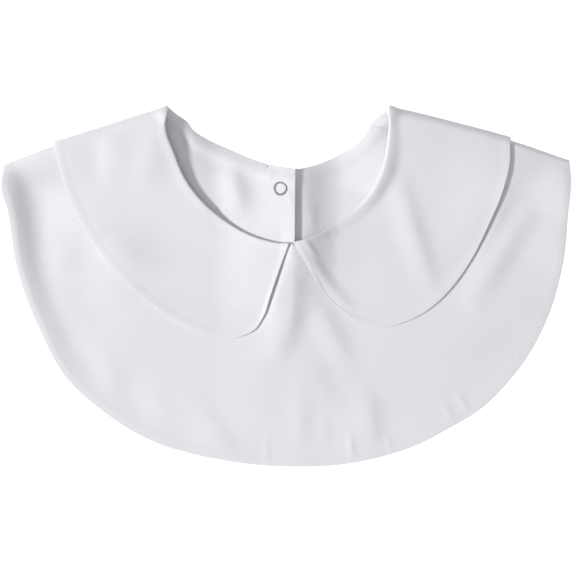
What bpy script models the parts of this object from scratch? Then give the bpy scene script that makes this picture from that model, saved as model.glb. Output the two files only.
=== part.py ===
"""A white cotton false collar with a cape yoke and two round collar leaves, laid flat.

It lies on its back halves, snapped shut at the centre back, with the front folded over
the back along both shoulders. +X is the viewer's right, +Y points from the hem to the
neck and +Z faces the viewer. Sizes in the tables are millimetres; meshes are in metres.
"""

from collections import namedtuple

import bmesh
import bpy
import numpy as np

MM = 0.001

# Cloth walls, and the gap kept between neighbouring pieces
YOKE_WALL = 1.0
LEAF_WALL = 1.2
GAP = 0.3
FLOOR_LEVEL = YOKE_WALL / 2
LEAF_OFFSET = YOKE_WALL / 2 + GAP + LEAF_WALL / 2
LAYER_STEP = YOKE_WALL + GAP
OVER_LEAF = LEAF_WALL + GAP

# The leaf rolls over the neck edge and back out over the yoke
NECK_ROLL = 1.5
NECK_SETTLE = 5.5
SEAM_DEPTH = 4.0
NECK_STEP = 1.2
ROLL_START = LEAF_WALL / 2
ROLL_END = ROLL_START + NECK_ROLL
NECK_RISE = 2 * NECK_ROLL - LEAF_OFFSET
LEAF_SLACK = 0.25
FRONT_SLACK = 0.2

# How far a layer takes to come down off what lies under it
LEAF_CLEAR = 7.0
LEAF_STEP = 24.0
HEM_CLEAR = 6.0
HEM_STEP = 13.0

# A shoulder fold's rise dies out past its neck end, its bow and the creases beside it
PAST_NECK = 15.0
PAST_NECK_FADE = 55.0
BOW_FADE = 45.0
CREASE_CLEAR = 14.0

# The raised strip just inside the hem
MARGIN_DEPTH = 5.0
MARGIN_WIDTH = 9.0

# Centre back: both halves stand up there in one long low tent, which dies out to each side
TENT_HEIGHT = 5.0
TENT_LEFT_X = -46.0
TENT_FLAT_LEFT_X = -9.5
TENT_FLAT_RIGHT_X = 2.1
TENT_RIGHT_X = 48.0
TENT_RIGHT_EASE = 1.8
TENT_HIGH_Y = 44.0
TENT_LOW_Y = -40.0

# The left half laps over the right one there and stands up along its edge
RIDGE_START_X = -62.0
RIDGE_FULL_X = -13.0
RIDGE_LOW = LAYER_STEP
RIDGE_HIGH = 4.1
RIDGE_LOW_Y = -30.0
RIDGE_HIGH_Y = 48.0
RIDGE_DROP_X = 8.0
RIDGE_DROP = 27.0

# Ring snap, 9.5 mm across
SNAP_X = -3.7
SNAP_Y = 64.4
SNAP_RADIUS = 4.75
RING_BAND = 1.3
RING_HEIGHT = 0.8
SOCKET_RADIUS = 4.3
SOCKET_HEIGHT = 1.5
SOCKET_HOLE = 2.2
STUD_FLANGE = 0.7
STUD_POST = 1.75
STUD_REACH = 1.3
SNAP_PAD = 6.0
TURN_STEPS = 20

# Mesh density
ROLL_ANGLES = (0.0, 16.0, 33.0, 50.0, 68.0)
NEAR_FOLD = (0.0, 3.0, 7.0, 12.0)
FADE_LENGTH = 30.0
COLUMN_STEP = 7.0
YOKE_ROWS = 14
LEAF_ROWS = 10
ROLL_RUN = 2.6
SEAM_ANGLE = 1.8
OUTLINE_POINTS = 36
HEM_POINTS = 60
PROBE = 0.05

COTTON = (0.86, 0.865, 0.88)
COTTON_ROUGHNESS = 0.85
STEEL = (0.62, 0.62, 0.63)
STEEL_ROUGHNESS = 0.3

Section = namedtuple("Section", "neck_x neck_y edge_x edge_y lift")
Shoulder = namedtuple(
    "Shoulder",
    "neck_x neck_y end_x end_y inward roll_neck roll_end settle_neck settle_end bow",
)
Crease = namedtuple("Crease", "from_x from_y to_x to_y width height")

# Shoulder folds: line, roll radius and settling length at the neck and at the end
LEFT = Shoulder(-77.8, 118.1, -188.6, 79.4, 1, 5.6, 3.0, 95.0, 42.0, 1.4)
RIGHT = Shoulder(67.4, 118.0, 189.6, 82.3, -1, 5.0, 2.8, 80.0, 42.0, 2.4)

# Front yoke, from the left shoulder round to the right one. lift raises the hem margin.
YOKE_FRONT = (
    Section(-77.8, 118.1, -187.6, 79.75, 0.0),
    Section(-78.7, 111.6, -188.8, 69.0, 2.4),
    Section(-77.6, 100.0, -184.9, 50.0, 4.4),
    Section(-73.5, 87.0, -179.6, 14.0, 4.2),
    Section(-66.0, 70.0, -165.0, -27.5, 3.0),
    Section(-52.7, 53.6, -139.5, -69.2, 1.7),
    Section(-44.8, 46.8, -115.2, -89.0, 1.2),
    Section(-36.0, 40.6, -92.0, -102.6, 0.8),
    Section(-25.0, 34.6, -65.0, -111.7, 0.4),
    Section(-12.0, 30.2, -30.0, -118.4, 0.2),
    Section(3.6, 28.6, 6.0, -120.8, 0.3),
    Section(20.0, 34.6, 46.0, -118.0, 0.4),
    Section(32.0, 41.2, 79.0, -109.4, 0.3),
    Section(43.6, 49.4, 108.0, -95.4, 0.2),
    Section(51.0, 57.4, 132.4, -80.0, 0.2),
    Section(57.6, 66.6, 156.6, -53.4, 0.3),
    Section(62.4, 76.0, 171.6, -27.5, 0.4),
    Section(66.4, 92.0, 184.2, 14.0, 0.6),
    Section(67.4, 105.6, 187.6, 50.0, 0.8),
    Section(67.5, 113.2, 189.2, 72.0, 0.6),
    Section(67.4, 118.0, 188.4, 82.65, 0.0),
)

# Back halves, from the shoulder round to the centre back edge
YOKE_BACK_LEFT = (
    Section(-77.8, 118.1, -187.6, 79.75, 0.0),
    Section(-70.6, 112.9, -178.5, 60.0, 0.0),
    Section(-61.0, 103.2, -160.0, 20.0, 0.0),
    Section(-46.0, 94.2, -128.0, -26.0, 0.0),
    Section(-29.0, 86.6, -84.0, -60.0, 0.0),
    Section(-11.0, 79.6, -38.0, -73.5, 0.0),
    Section(6.4, 76.4, 5.0, -76.5, 0.0),
)
YOKE_BACK_RIGHT = (
    Section(67.4, 118.0, 188.4, 82.65, 0.0),
    Section(61.5, 112.6, 179.5, 63.0, 0.0),
    Section(51.0, 98.6, 162.0, 18.0, 0.0),
    Section(37.0, 88.0, 130.0, -27.0, 0.0),
    Section(21.0, 80.8, 88.0, -57.0, 0.0),
    Section(6.4, 77.6, 40.0, -72.5, 0.0),
    Section(-11.8, 78.6, -11.8, -76.0, 0.0),
)

# Leaves over the front, from the shoulder to the centre front. lift raises the outer edge.
LEAF_FRONT_LEFT = (
    Section(-77.8, 118.1, -153.0, 91.92, 0.2),
    Section(-78.7, 111.6, -150.8, 81.5, 0.3),
    Section(-77.6, 100.0, -146.0, 64.5, 0.3),
    Section(-73.5, 87.0, -135.5, 40.0, 0.2),
    Section(-66.0, 70.0, -119.3, 15.0, 0.2),
    Section(-54.0, 54.8, -95.0, -8.8, 0.2),
    Section(-39.0, 42.6, -70.7, -25.0, 0.2),
    Section(-25.0, 34.6, -50.0, -33.2, 0.3),
    Section(-12.0, 30.2, -32.0, -34.6, 0.4),
    Section(-4.0, 28.8, -20.0, -29.0, 0.5),
    Section(2.8, 28.6, -12.6, -18.0, 0.5),
)
LEAF_FRONT_RIGHT = (
    Section(67.4, 118.0, 148.2, 94.4, 1.6),
    Section(67.5, 111.4, 148.3, 84.0, 2.0),
    Section(67.1, 102.0, 145.2, 67.0, 2.2),
    Section(65.6, 88.0, 137.0, 43.5, 2.2),
    Section(61.0, 73.0, 122.0, 14.0, 1.8),
    Section(53.6, 60.6, 104.0, -8.5, 1.2),
    Section(43.6, 49.4, 84.0, -22.5, 0.8),
    Section(32.0, 41.2, 62.0, -27.9, 0.5),
    Section(20.0, 34.6, 43.0, -22.3, 0.4),
    Section(11.0, 31.0, 30.0, -11.5, 0.4),
    Section(4.6, 29.0, 20.0, 2.0, 0.3),
)

# Leaves under the back, from the shoulder to the centre back
LEAF_BACK_LEFT = (
    Section(-77.8, 118.1, -153.0, 91.92, 0.0),
    Section(-70.6, 112.9, -145.0, 75.0, 0.0),
    Section(-62.0, 104.0, -129.0, 53.0, 0.0),
    Section(-50.0, 96.4, -104.0, 33.0, 0.0),
    Section(-38.0, 91.0, -74.0, 21.6, 0.0),
    Section(-27.5, 86.2, -49.0, 19.8, 0.0),
    Section(-18.8, 82.7, -30.0, 31.0, 0.0),
    Section(-11.6, 79.9, -20.0, 49.0, 0.0),
)
LEAF_BACK_RIGHT = (
    Section(67.4, 118.0, 148.2, 94.4, 0.0),
    Section(61.5, 112.6, 140.5, 78.0, 0.0),
    Section(52.0, 99.6, 122.0, 52.5, 0.0),
    Section(41.0, 90.4, 96.0, 33.5, 0.0),
    Section(30.0, 84.6, 66.0, 21.8, 0.0),
    Section(20.0, 80.5, 41.5, 20.4, 0.0),
    Section(11.0, 78.2, 23.5, 31.0, 0.0),
    Section(3.6, 77.2, 13.0, 49.5, 0.0),
)

# The largest soft folds of the front yoke and of the leaves
YOKE_CREASES = (
    Crease(158.0, 45.0, 125.0, -8.0, 8.0, 2.2),
    Crease(-6.0, 6.0, -9.0, -28.0, 7.0, 0.8),
    Crease(16.0, -46.0, 44.0, -112.0, 9.0, 0.6),
)
LEAF_CREASES = (
    Crease(79.0, 56.0, 97.0, -1.0, 7.0, 1.1),
    Crease(-128.0, 98.0, -127.0, 74.0, 7.0, 0.9),
)


def smooth(share):
    """An ease from 0 to 1."""
    share = np.clip(share, 0.0, 1.0)
    return share * share * (3 - 2 * share)


def smooth_curve(rows, knots, at):
    """Values on a smooth curve through the rows, which stand at the rising knots."""
    rows = np.asarray(rows, float)
    chords = np.diff(rows, axis=0) / np.diff(knots)[:, None]
    near, far = np.diff(knots)[:-1, None], np.diff(knots)[1:, None]
    slopes = np.vstack(
        [chords[:1], (far * chords[:-1] + near * chords[1:]) / (near + far), chords[-1:]]
    )
    at = np.clip(np.atleast_1d(at), knots[0], knots[-1])
    span = np.clip(np.searchsorted(knots, at, side="right") - 1, 0, len(knots) - 2)
    width = np.diff(knots)[span][:, None]
    share = (at - knots[span])[:, None] / width
    start = (1 + 2 * share) * (1 - share) ** 2 * rows[span]
    end = share**2 * (3 - 2 * share) * rows[span + 1]
    bend = share * (1 - share) * width
    return start + end + bend * ((1 - share) * slopes[span] - share * slopes[span + 1])


def neck_knots(sections):
    """Distance along the neck edge at which each section stands."""
    neck = np.array([(s.neck_x, s.neck_y) for s in sections])
    return np.r_[0.0, np.cumsum(np.linalg.norm(np.diff(neck, axis=0), axis=1))]


def section_lines(sections, along):
    """Neck point, edge point and lift of the sections at these distances along the neck."""
    values = smooth_curve(sections, neck_knots(sections), along)
    return values[:, 0:2], values[:, 2:4], values[:, 4]


def segment_distance(points, start, end):
    """Distance from each point to each segment, and the share of it where that is."""
    run = end - start
    to_point = points[:, None, :] - start
    share = np.clip((to_point * run).sum(2) / (run**2).sum(1), 0.0, 1.0)
    return np.linalg.norm(to_point - share[..., None] * run, axis=2), share


def line_distance(points, line):
    """Distance from each point to an open line."""
    return segment_distance(points, line[:-1], line[1:])[0].min(1)


def outline_distance(points, outline):
    """Distance outside a closed outline, and less than zero inside it."""
    start, end = outline, np.roll(outline, -1, axis=0)
    distance = segment_distance(points, start, end)[0].min(1)
    x, y = points[:, 0:1], points[:, 1:2]
    crosses = (start[:, 1] > y) != (end[:, 1] > y)
    rise = np.where(end[:, 1] == start[:, 1], 1.0, end[:, 1] - start[:, 1])
    at_x = start[:, 0] + (y - start[:, 1]) * (end[:, 0] - start[:, 0]) / rise
    inside = (crosses & (x < at_x)).sum(1) % 2 == 1
    return np.where(inside, -distance, distance)


def panel_outline(sections, count=OUTLINE_POINTS):
    """The outline of a flat panel: out along its neck edge and back along its outer edge."""
    knots = neck_knots(sections)
    neck, edge, _ = section_lines(sections, np.linspace(0.0, knots[-1], count))
    return np.vstack([neck, edge[::-1]])


def fold_frame(fold):
    """Neck end of a shoulder fold, its outward direction, its inward normal and its length."""
    start = np.array([fold.neck_x, fold.neck_y])
    run = np.array([fold.end_x, fold.end_y]) - start
    length = np.linalg.norm(run)
    out = run / length
    inward = np.array([-out[1], out[0]]) * fold.inward
    return start, out, inward, length


def fold_place(fold, points):
    """Share along a shoulder fold, and distance in from it."""
    start, out, inward, length = fold_frame(fold)
    share = np.clip((points - start) @ out / length, 0.0, 1.0)
    return share, (points - start) @ inward


def roll_radius(fold, share):
    return fold.roll_neck + (fold.roll_end - fold.roll_neck) * share


def settling(fold, points):
    """1 at a shoulder roll, falling to 0 where the front lies down on the back."""
    start, out, _, _ = fold_frame(fold)
    share, depth = fold_place(fold, points)
    length = fold.settle_neck + (fold.settle_end - fold.settle_neck) * share
    past = np.clip((depth - roll_radius(fold, share)) / length, 0.0, 1.0)
    beyond_neck = -(points - start) @ out
    return (1 - smooth(past**1.3)) * (1 - smooth((beyond_neck - PAST_NECK) / PAST_NECK_FADE))


def crease_height(points, creases):
    """Added height of soft ridges, each strongest halfway along."""
    height = np.zeros(len(points))
    for crease in creases:
        start = np.array([[crease.from_x, crease.from_y]])
        end = np.array([[crease.to_x, crease.to_y]])
        distance, share = segment_distance(points, start, end)
        along = 0.45 + 0.55 * np.sin(np.pi * share[:, 0])
        height += crease.height * along * np.exp(-((distance[:, 0] / crease.width) ** 2))
    return height


LEAF_UNDER = (panel_outline(LEAF_BACK_LEFT), panel_outline(LEAF_BACK_RIGHT))
BACK_OUTLINES = (panel_outline(YOKE_BACK_LEFT), panel_outline(YOKE_BACK_RIGHT))
BACK_NECK = np.vstack(
    [BACK_OUTLINES[0][:OUTLINE_POINTS], BACK_OUTLINES[1][:OUTLINE_POINTS][::-1]]
)
HEM_LINE = panel_outline(YOKE_FRONT, HEM_POINTS)[HEM_POINTS:]


def neck_rise(distance):
    """How much further the two sides of the leaf stand apart near the neck edge."""
    return NECK_RISE * (1 - smooth((distance - ROLL_END) / NECK_SETTLE))


def base_level(points):
    """Height of the back cloth: on the floor, or over the leaves and the snap under it."""
    near = np.minimum(*[outline_distance(points, outline) for outline in LEAF_UNDER])
    snap = np.linalg.norm(points - (SNAP_X, SNAP_Y), axis=1) - SNAP_PAD
    near = np.minimum(near, snap)
    over = OVER_LEAF * (1 - smooth((near - LEAF_CLEAR) / LEAF_STEP))
    over = over + tent_height(points)
    return FLOOR_LEVEL + over + neck_rise(line_distance(points, BACK_NECK))


def tent_height(points):
    """Height by which the lapped centre back stands up."""
    x, y = points.T
    left = smooth((x - TENT_LEFT_X) / (TENT_FLAT_LEFT_X - TENT_LEFT_X))
    right = np.clip((TENT_RIGHT_X - x) / (TENT_RIGHT_X - TENT_FLAT_RIGHT_X), 0.0, 1.0)
    along = smooth((y - TENT_LOW_Y) / (TENT_HIGH_Y - TENT_LOW_Y))
    return TENT_HEIGHT * left * right**TENT_RIGHT_EASE * along


def ridge_height(points):
    """Height of the left back half over the right one."""
    x, y = points.T
    high = smooth((y - RIDGE_LOW_Y) / (RIDGE_HIGH_Y - RIDGE_LOW_Y))
    full = RIDGE_LOW + (RIDGE_HIGH - RIDGE_LOW) * high
    return full * smooth((x - RIDGE_START_X) / (RIDGE_FULL_X - RIDGE_START_X))


def front_level(points):
    """Height of the front cloth over the base, without what the shoulder rolls add."""
    x = points[:, 0]
    hem_gap = np.minimum(*[outline_distance(points, outline) for outline in BACK_OUTLINES])
    on_back = 1 - smooth((hem_gap - HEM_CLEAR) / HEM_STEP)
    ridge = ridge_height(points) * (1 - smooth((x - RIDGE_DROP_X) / RIDGE_DROP))
    return (LAYER_STEP + FRONT_SLACK) * on_back, ridge * on_back


def margin_lift(points):
    """Lift of the front's hem margin, from the lift column of its sections."""
    distance, share = segment_distance(points, HEM_LINE[:-1], HEM_LINE[1:])
    nearest = distance.argmin(1)
    picked = np.arange(len(points))
    places = np.linspace(0.0, neck_knots(YOKE_FRONT)[-1], HEM_POINTS)
    lifts = section_lines(YOKE_FRONT, places)[2][::-1]
    part = share[picked, nearest]
    lift = lifts[nearest] * (1 - part) + lifts[nearest + 1] * part
    from_crest = distance[picked, nearest] - MARGIN_DEPTH
    return lift * np.exp(-((from_crest / MARGIN_WIDTH) ** 2))


def cloth_level(face, points):
    """Height of a yoke's middle, and the part of it that a shoulder roll adds."""
    base = base_level(points)
    turned = np.zeros(len(points))
    if face == "back_right":
        height = base
    elif face == "back_left":
        height = base + ridge_height(points)
    else:
        over, ridge = front_level(points)
        height = base + over + ridge
    for fold in (LEFT, RIGHT):
        share, depth = fold_place(fold, points)
        radius = roll_radius(fold, share)
        lean = np.clip(1 - depth / radius, 0.0, 1.0)
        roll = radius * np.sqrt(1 - lean**2)
        if face == "front":
            height = height + (2 * radius - over) * settling(fold, points) + roll - radius
            turned += roll - radius
        else:
            height = height + radius - roll
            turned += radius - roll
    if face == "front":
        away = np.minimum(fold_place(LEFT, points)[1], fold_place(RIGHT, points)[1])
        extra = margin_lift(points) + crease_height(points, YOKE_CREASES)
        height = height + extra * smooth(away / CREASE_CLEAR)
    return height, turned


def cloth_surface(face, points):
    """Points on the middle of a yoke, and the outward normal there."""
    height, turned = cloth_level(face, points)
    steady = height - turned
    slope = np.zeros((len(points), 2))
    for axis in (0, 1):
        step = np.zeros(2)
        step[axis] = PROBE
        ahead = cloth_level(face, points + step)
        behind = cloth_level(face, points - step)
        slope[:, axis] = ((ahead[0] - ahead[1]) - (behind[0] - behind[1])) / (2 * PROBE)
    up = 1.0 if face == "front" else -1.0
    normal = np.column_stack([-up * slope, np.full(len(points), up)])
    for fold in (LEFT, RIGHT):
        share, depth = fold_place(fold, points)
        radius = roll_radius(fold, share)
        lean = np.clip(1 - depth / radius, 0.0, 1.0)
        rolled = lean > 0
        upright = np.sqrt(1 - lean**2)
        inward = fold_frame(fold)[2]
        turned_normal = np.column_stack(
            [upright[:, None] * -up * slope - lean[:, None] * inward, up * upright]
        )
        normal = np.where(rolled[:, None], turned_normal, normal)
    normal /= np.linalg.norm(normal, axis=1)[:, None]
    return np.column_stack([points, height]), normal


def bowed(points):
    """The shoulder lines' slight outward bow, given to all layers alike."""
    moved = points.copy()
    for fold in (LEFT, RIGHT):
        share, depth = fold_place(fold, points[:, :2])
        inward = fold_frame(fold)[2]
        amount = fold.bow * 4 * share * (1 - share) * np.exp(-((depth / BOW_FADE) ** 2))
        moved[:, :2] -= amount[:, None] * inward
    return moved


def leaving(sections, share, at_end=False):
    """Directions in which the neck and outer edges leave a shoulder fold, mixed by share."""
    total = neck_knots(sections)[-1]
    along = np.array([total, total - 0.5]) if at_end else np.array([0.0, 0.5])
    neck, edge, _ = section_lines(sections, along)
    neck_way = (neck[1] - neck[0]) / np.linalg.norm(neck[1] - neck[0])
    edge_way = (edge[1] - edge[0]) / np.linalg.norm(edge[1] - edge[0])
    return neck_way + share[:, None] * (edge_way - neck_way)


def column_points(sections, fold, along, angle, depths, at_end=False):
    """Plan points down one column of a panel.

    A column stands in the shoulder roll, at an angle round it, or past the roll, at a
    distance along the neck edge. depths gives distances out from the neck edge.
    """
    total = neck_knots(sections)[-1]
    place = total if at_end and angle < 90 else (0.0 if angle < 90 else along)
    neck, edge, lift = section_lines(sections, [place])
    length = np.linalg.norm(edge[0] - neck[0])
    share = depths / length
    points = neck[0] + share[:, None] * (edge[0] - neck[0])
    _, _, inward, _ = fold_frame(fold)
    way = leaving(sections, share, at_end)
    way = way / (way @ inward)[:, None]
    radius = roll_radius(fold, fold_place(fold, points)[0])
    from_fold = total - along if at_end else along
    spread = 1 - np.cos(np.radians(min(angle, 90.0)))
    fade = 1 - smooth(from_fold / FADE_LENGTH) if angle >= 90 else 1.0
    return points + way * (radius * spread * fade)[:, None], lift[0]


def share_rows(start, end, count, crowd=1.25):
    """Depths from start to end, closer together near both."""
    share = np.linspace(-1.0, 1.0, count)
    share = np.sign(share) * np.abs(share) ** (1 / crowd)
    return start + (end - start) * (share + 1) / 2


def spaced(start, stop, step):
    """Distances along the neck edge, about a step apart."""
    count = max(2, int(round((stop - start) / step)) + 1)
    return np.linspace(start, stop, count)


def column_list(sections, step, roll_at_end=False, seam=False):
    """(distance along the neck, angle round the roll) of each column of a panel."""
    total = neck_knots(sections)[-1]
    first = [(0.0, angle) for angle in ROLL_ANGLES]
    if seam:
        first[0] = (0.0, SEAM_ANGLE)
    near = [(place, 90.0) for place in NEAR_FOLD]
    if not roll_at_end:
        return first + near + [
            (place, 90.0) for place in spaced(NEAR_FOLD[-1] + step, total, step)
        ]
    middle = spaced(NEAR_FOLD[-1] + step, total - NEAR_FOLD[-1] - step, step)
    last = [(total - place, angle) for place, angle in (first + near)[::-1]]
    return first + near + [(place, 90.0) for place in middle] + last


def wall(name, grid, thickness, colour, roughness):
    """A closed wall of even thickness round a grid of middle points."""
    rows, columns = grid.shape[:2]
    mesh = bpy.data.meshes.new(name)
    corner = np.arange(rows * columns).reshape(rows, columns)
    faces = np.stack(
        [corner[:-1, :-1], corner[1:, :-1], corner[1:, 1:], corner[:-1, 1:]], axis=2
    ).reshape(-1, 4)
    mesh.from_pydata((grid.reshape(-1, 3) * MM).tolist(), [], faces.tolist())
    mesh.validate()
    piece = bpy.data.objects.new(name, mesh)
    bpy.context.scene.collection.objects.link(piece)
    solid = piece.modifiers.new("cloth", "SOLIDIFY")
    solid.thickness = thickness * MM
    solid.offset = 0.0
    solid.use_even_offset = True
    solid.use_rim = True
    mesh.shade_smooth()
    finish(piece, colour, roughness, 0.0)
    return piece


def finish(piece, colour, roughness, metallic):
    """Gives a piece its own material."""
    material = bpy.data.materials.new(piece.name)
    material.use_nodes = True
    shader = material.node_tree.nodes["Principled BSDF"]
    shader.inputs["Base Color"].default_value = (*colour, 1.0)
    shader.inputs["Roughness"].default_value = roughness
    shader.inputs["Metallic"].default_value = metallic
    piece.data.materials.append(material)


def front_yoke():
    """The front yoke, from shoulder seam to shoulder seam."""
    columns = column_list(YOKE_FRONT, COLUMN_STEP, roll_at_end=True, seam=True)
    total = neck_knots(YOKE_FRONT)[-1]
    grid = []
    for place, angle in columns:
        at_end = place > total / 2
        fold = RIGHT if at_end else LEFT
        neck, edge, _ = section_lines(YOKE_FRONT, [place])
        length = np.linalg.norm(edge[0] - neck[0])
        depths = share_rows(SEAM_DEPTH + GAP, length, YOKE_ROWS)
        points, _ = column_points(YOKE_FRONT, fold, place, angle, depths, at_end)
        grid.append(bowed(cloth_surface("front", points)[0]))
    return wall("yoke_front", np.array(grid), YOKE_WALL, COTTON, COTTON_ROUGHNESS)


def back_yoke(name, face, sections, fold, leaf_end):
    """One back half, from its shoulder seam to its centre back edge."""
    total = neck_knots(sections)[-1]
    grid = []
    extra = [(leaf_end + GAP, 90.0), (leaf_end + GAP + NECK_STEP, 90.0)]
    columns = column_list(sections, COLUMN_STEP, seam=True)
    columns = [c for c in columns if abs(c[0] - extra[0][0]) > 3 or c[1] < 90] + extra
    for place, angle in sorted(columns):
        neck, edge, _ = section_lines(sections, [min(place, total)])
        length = np.linalg.norm(edge[0] - neck[0])
        past_leaf = smooth((place - leaf_end - GAP) / NECK_STEP)
        start = SEAM_DEPTH + GAP - (SEAM_DEPTH + GAP - ROLL_START) * past_leaf
        depths = share_rows(start, length, YOKE_ROWS)
        points, _ = column_points(sections, fold, place, angle, depths)
        grid.append(bowed(cloth_surface(face, points)[0]))
    return wall(name, np.array(grid), YOKE_WALL, COTTON, COTTON_ROUGHNESS)


def leaf_profile(length):
    """(depth, offset) pairs across a leaf: neck seam, round the neck roll, outer edge."""
    profile = [(SEAM_DEPTH, 0.0)]
    for angle in range(0, 181, 36):
        turn = np.radians(angle)
        depth = ROLL_END - NECK_ROLL * np.sin(turn)
        profile.append((depth, NECK_ROLL * (1 - np.cos(turn))))
    outer = share_rows(ROLL_END + ROLL_RUN, length, LEAF_ROWS)
    profile += [(depth, LEAF_OFFSET + neck_rise(depth)) for depth in outer]
    return np.array(profile)


def leaf_half(sections, face, fold, columns):
    """Middle points of a leaf's front or back part, column by column."""
    grid = []
    for place, angle in columns:
        neck, edge, _ = section_lines(sections, [place if angle >= 90 else 0.0])
        length = np.linalg.norm(edge[0] - neck[0])
        profile = leaf_profile(length)
        points, lift = column_points(sections, fold, place, angle, profile[:, 0])
        middle, normal = cloth_surface(face, points)
        offset = profile[:, 1].copy()
        if face == "front":
            outer = profile[:, 1] >= LEAF_OFFSET
            away = smooth(fold_place(fold, points)[1] / CREASE_CLEAR)
            rise = lift * smooth((profile[:, 0] / length - 0.55) / 0.4)
            rise = rise + (LEAF_SLACK + crease_height(points, LEAF_CREASES)) * away
            offset += np.where(outer, rise, 0.0)
        grid.append(bowed(middle + offset[:, None] * normal))
    return grid


def collar_leaf(name, front, back, back_face, fold):
    """One leaf in one piece: centre front, over the shoulder fold, to the centre back."""
    over_front = leaf_half(front, "front", fold, column_list(front, COLUMN_STEP))
    under_back = leaf_half(back, back_face, fold, column_list(back, COLUMN_STEP))
    grid = over_front[::-1] + under_back[1:]
    return wall(name, np.array(grid), LEAF_WALL, COTTON, COTTON_ROUGHNESS)


def turned(name, profile, height, on_axis):
    """A round metal piece from (radius, height) pairs run round its section."""
    shape = bmesh.new()
    rings = []
    for radius, rise in profile:
        if radius == 0.0:
            rings.append([shape.verts.new((0.0, 0.0, rise * MM))])
            continue
        turns = np.linspace(0.0, 2 * np.pi, TURN_STEPS, endpoint=False)
        rings.append(
            [
                shape.verts.new((radius * np.cos(a) * MM, radius * np.sin(a) * MM, rise * MM))
                for a in turns
            ]
        )
    pairs = list(zip(rings, rings[1:]))
    if not on_axis:
        pairs.append((rings[-1], rings[0]))
    for inner, outer in pairs:
        for k in range(TURN_STEPS):
            n = (k + 1) % TURN_STEPS
            if len(inner) == 1:
                shape.faces.new((inner[0], outer[k], outer[n]))
            elif len(outer) == 1:
                shape.faces.new((inner[k], outer[0], inner[n]))
            else:
                shape.faces.new((inner[k], outer[k], outer[n], inner[n]))
    bmesh.ops.recalc_face_normals(shape, faces=shape.faces)
    mesh = bpy.data.meshes.new(name)
    shape.to_mesh(mesh)
    shape.free()
    mesh.shade_smooth()
    mesh.set_sharp_from_angle(angle=np.radians(40))
    piece = bpy.data.objects.new(name, mesh)
    bpy.context.scene.collection.objects.link(piece)
    piece.location = (SNAP_X * MM, SNAP_Y * MM, height * MM)
    finish(piece, STEEL, STEEL_ROUGHNESS, 1.0)
    return piece


def ring_profile(outer, inner, height, corner=0.22):
    """Section of a flat ring with its corners taken off."""
    return (
        (inner + corner, 0.0),
        (outer - corner, 0.0),
        (outer, corner),
        (outer, height - corner),
        (outer - corner, height),
        (inner + corner, height),
        (inner, height - corner),
        (inner, corner),
    )


def snap():
    """The four pieces of the ring snap, from the floor up."""
    low = FLOOR_LEVEL + OVER_LEAF + TENT_HEIGHT
    ring = ring_profile(SNAP_RADIUS, SNAP_RADIUS - RING_BAND, RING_HEIGHT)
    turned("snap_ring_outer", ring, low - YOKE_WALL / 2 - GAP - RING_HEIGHT, False)
    socket_at = low + YOKE_WALL / 2 + GAP
    socket = ring_profile(SOCKET_RADIUS, SOCKET_HOLE, SOCKET_HEIGHT)
    turned("snap_socket", socket, socket_at, False)
    stud_at = socket_at + SOCKET_HEIGHT + GAP
    stud = (
        (0.0, -STUD_REACH),
        (STUD_POST - 0.35, -STUD_REACH),
        (STUD_POST, -STUD_REACH + 0.35),
        (STUD_POST, 0.0),
        (SOCKET_RADIUS - 0.2, 0.0),
        (SOCKET_RADIUS, 0.2),
        (SOCKET_RADIUS, STUD_FLANGE - 0.2),
        (SOCKET_RADIUS - 0.2, STUD_FLANGE),
        (0.0, STUD_FLANGE),
    )
    turned("snap_stud", stud, stud_at, True)
    ring_at = stud_at + STUD_FLANGE + GAP + YOKE_WALL + GAP
    turned("snap_ring_inner", ring, ring_at, False)


def main():
    for thing in list(bpy.data.objects):
        bpy.data.objects.remove(thing)
    front_yoke()
    left_leaf_end = neck_knots(LEAF_BACK_LEFT)[-1]
    right_leaf_end = neck_knots(LEAF_BACK_RIGHT)[-1]
    back_yoke("yoke_back_left", "back_left", YOKE_BACK_LEFT, LEFT, left_leaf_end)
    back_yoke("yoke_back_right", "back_right", YOKE_BACK_RIGHT, RIGHT, right_leaf_end)
    collar_leaf("leaf_left", LEAF_FRONT_LEFT, LEAF_BACK_LEFT, "back_left", LEFT)
    collar_leaf("leaf_right", LEAF_FRONT_RIGHT, LEAF_BACK_RIGHT, "back_right", RIGHT)
    snap()


main()
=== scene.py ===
"""Dresses the packed false collar: thin cotton cloth with its creases, seams and stitches,
the ring snap, and a pale table under soft light.

Tables and lengths in the cloth functions are millimetres, in the frame of the packed part:
+X is the viewer's right, +Y points from the hem to the neck, +Z faces the viewer.
"""

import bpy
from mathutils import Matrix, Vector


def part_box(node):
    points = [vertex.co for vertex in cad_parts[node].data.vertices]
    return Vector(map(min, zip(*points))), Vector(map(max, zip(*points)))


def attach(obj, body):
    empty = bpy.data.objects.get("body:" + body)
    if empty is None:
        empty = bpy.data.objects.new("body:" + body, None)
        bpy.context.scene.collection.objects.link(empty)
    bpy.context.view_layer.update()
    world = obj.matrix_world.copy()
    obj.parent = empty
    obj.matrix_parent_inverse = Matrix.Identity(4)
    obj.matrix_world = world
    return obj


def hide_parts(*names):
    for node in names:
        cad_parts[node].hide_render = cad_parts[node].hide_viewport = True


bl_info = {
    "name": "Cotton False Collar",
    "version": (1, 0, 0),
    "blender": (4, 5, 0),
    "location": "3D View > Sidebar > Collar",
    "description": "Makes a white false collar with a cape yoke, laid flat, and its table",
    "category": "Add Mesh",
}

from collections import namedtuple

import bmesh
import bpy
import numpy as np
from bpy.props import FloatProperty, FloatVectorProperty, IntProperty, PointerProperty
from mathutils import Vector

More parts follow.
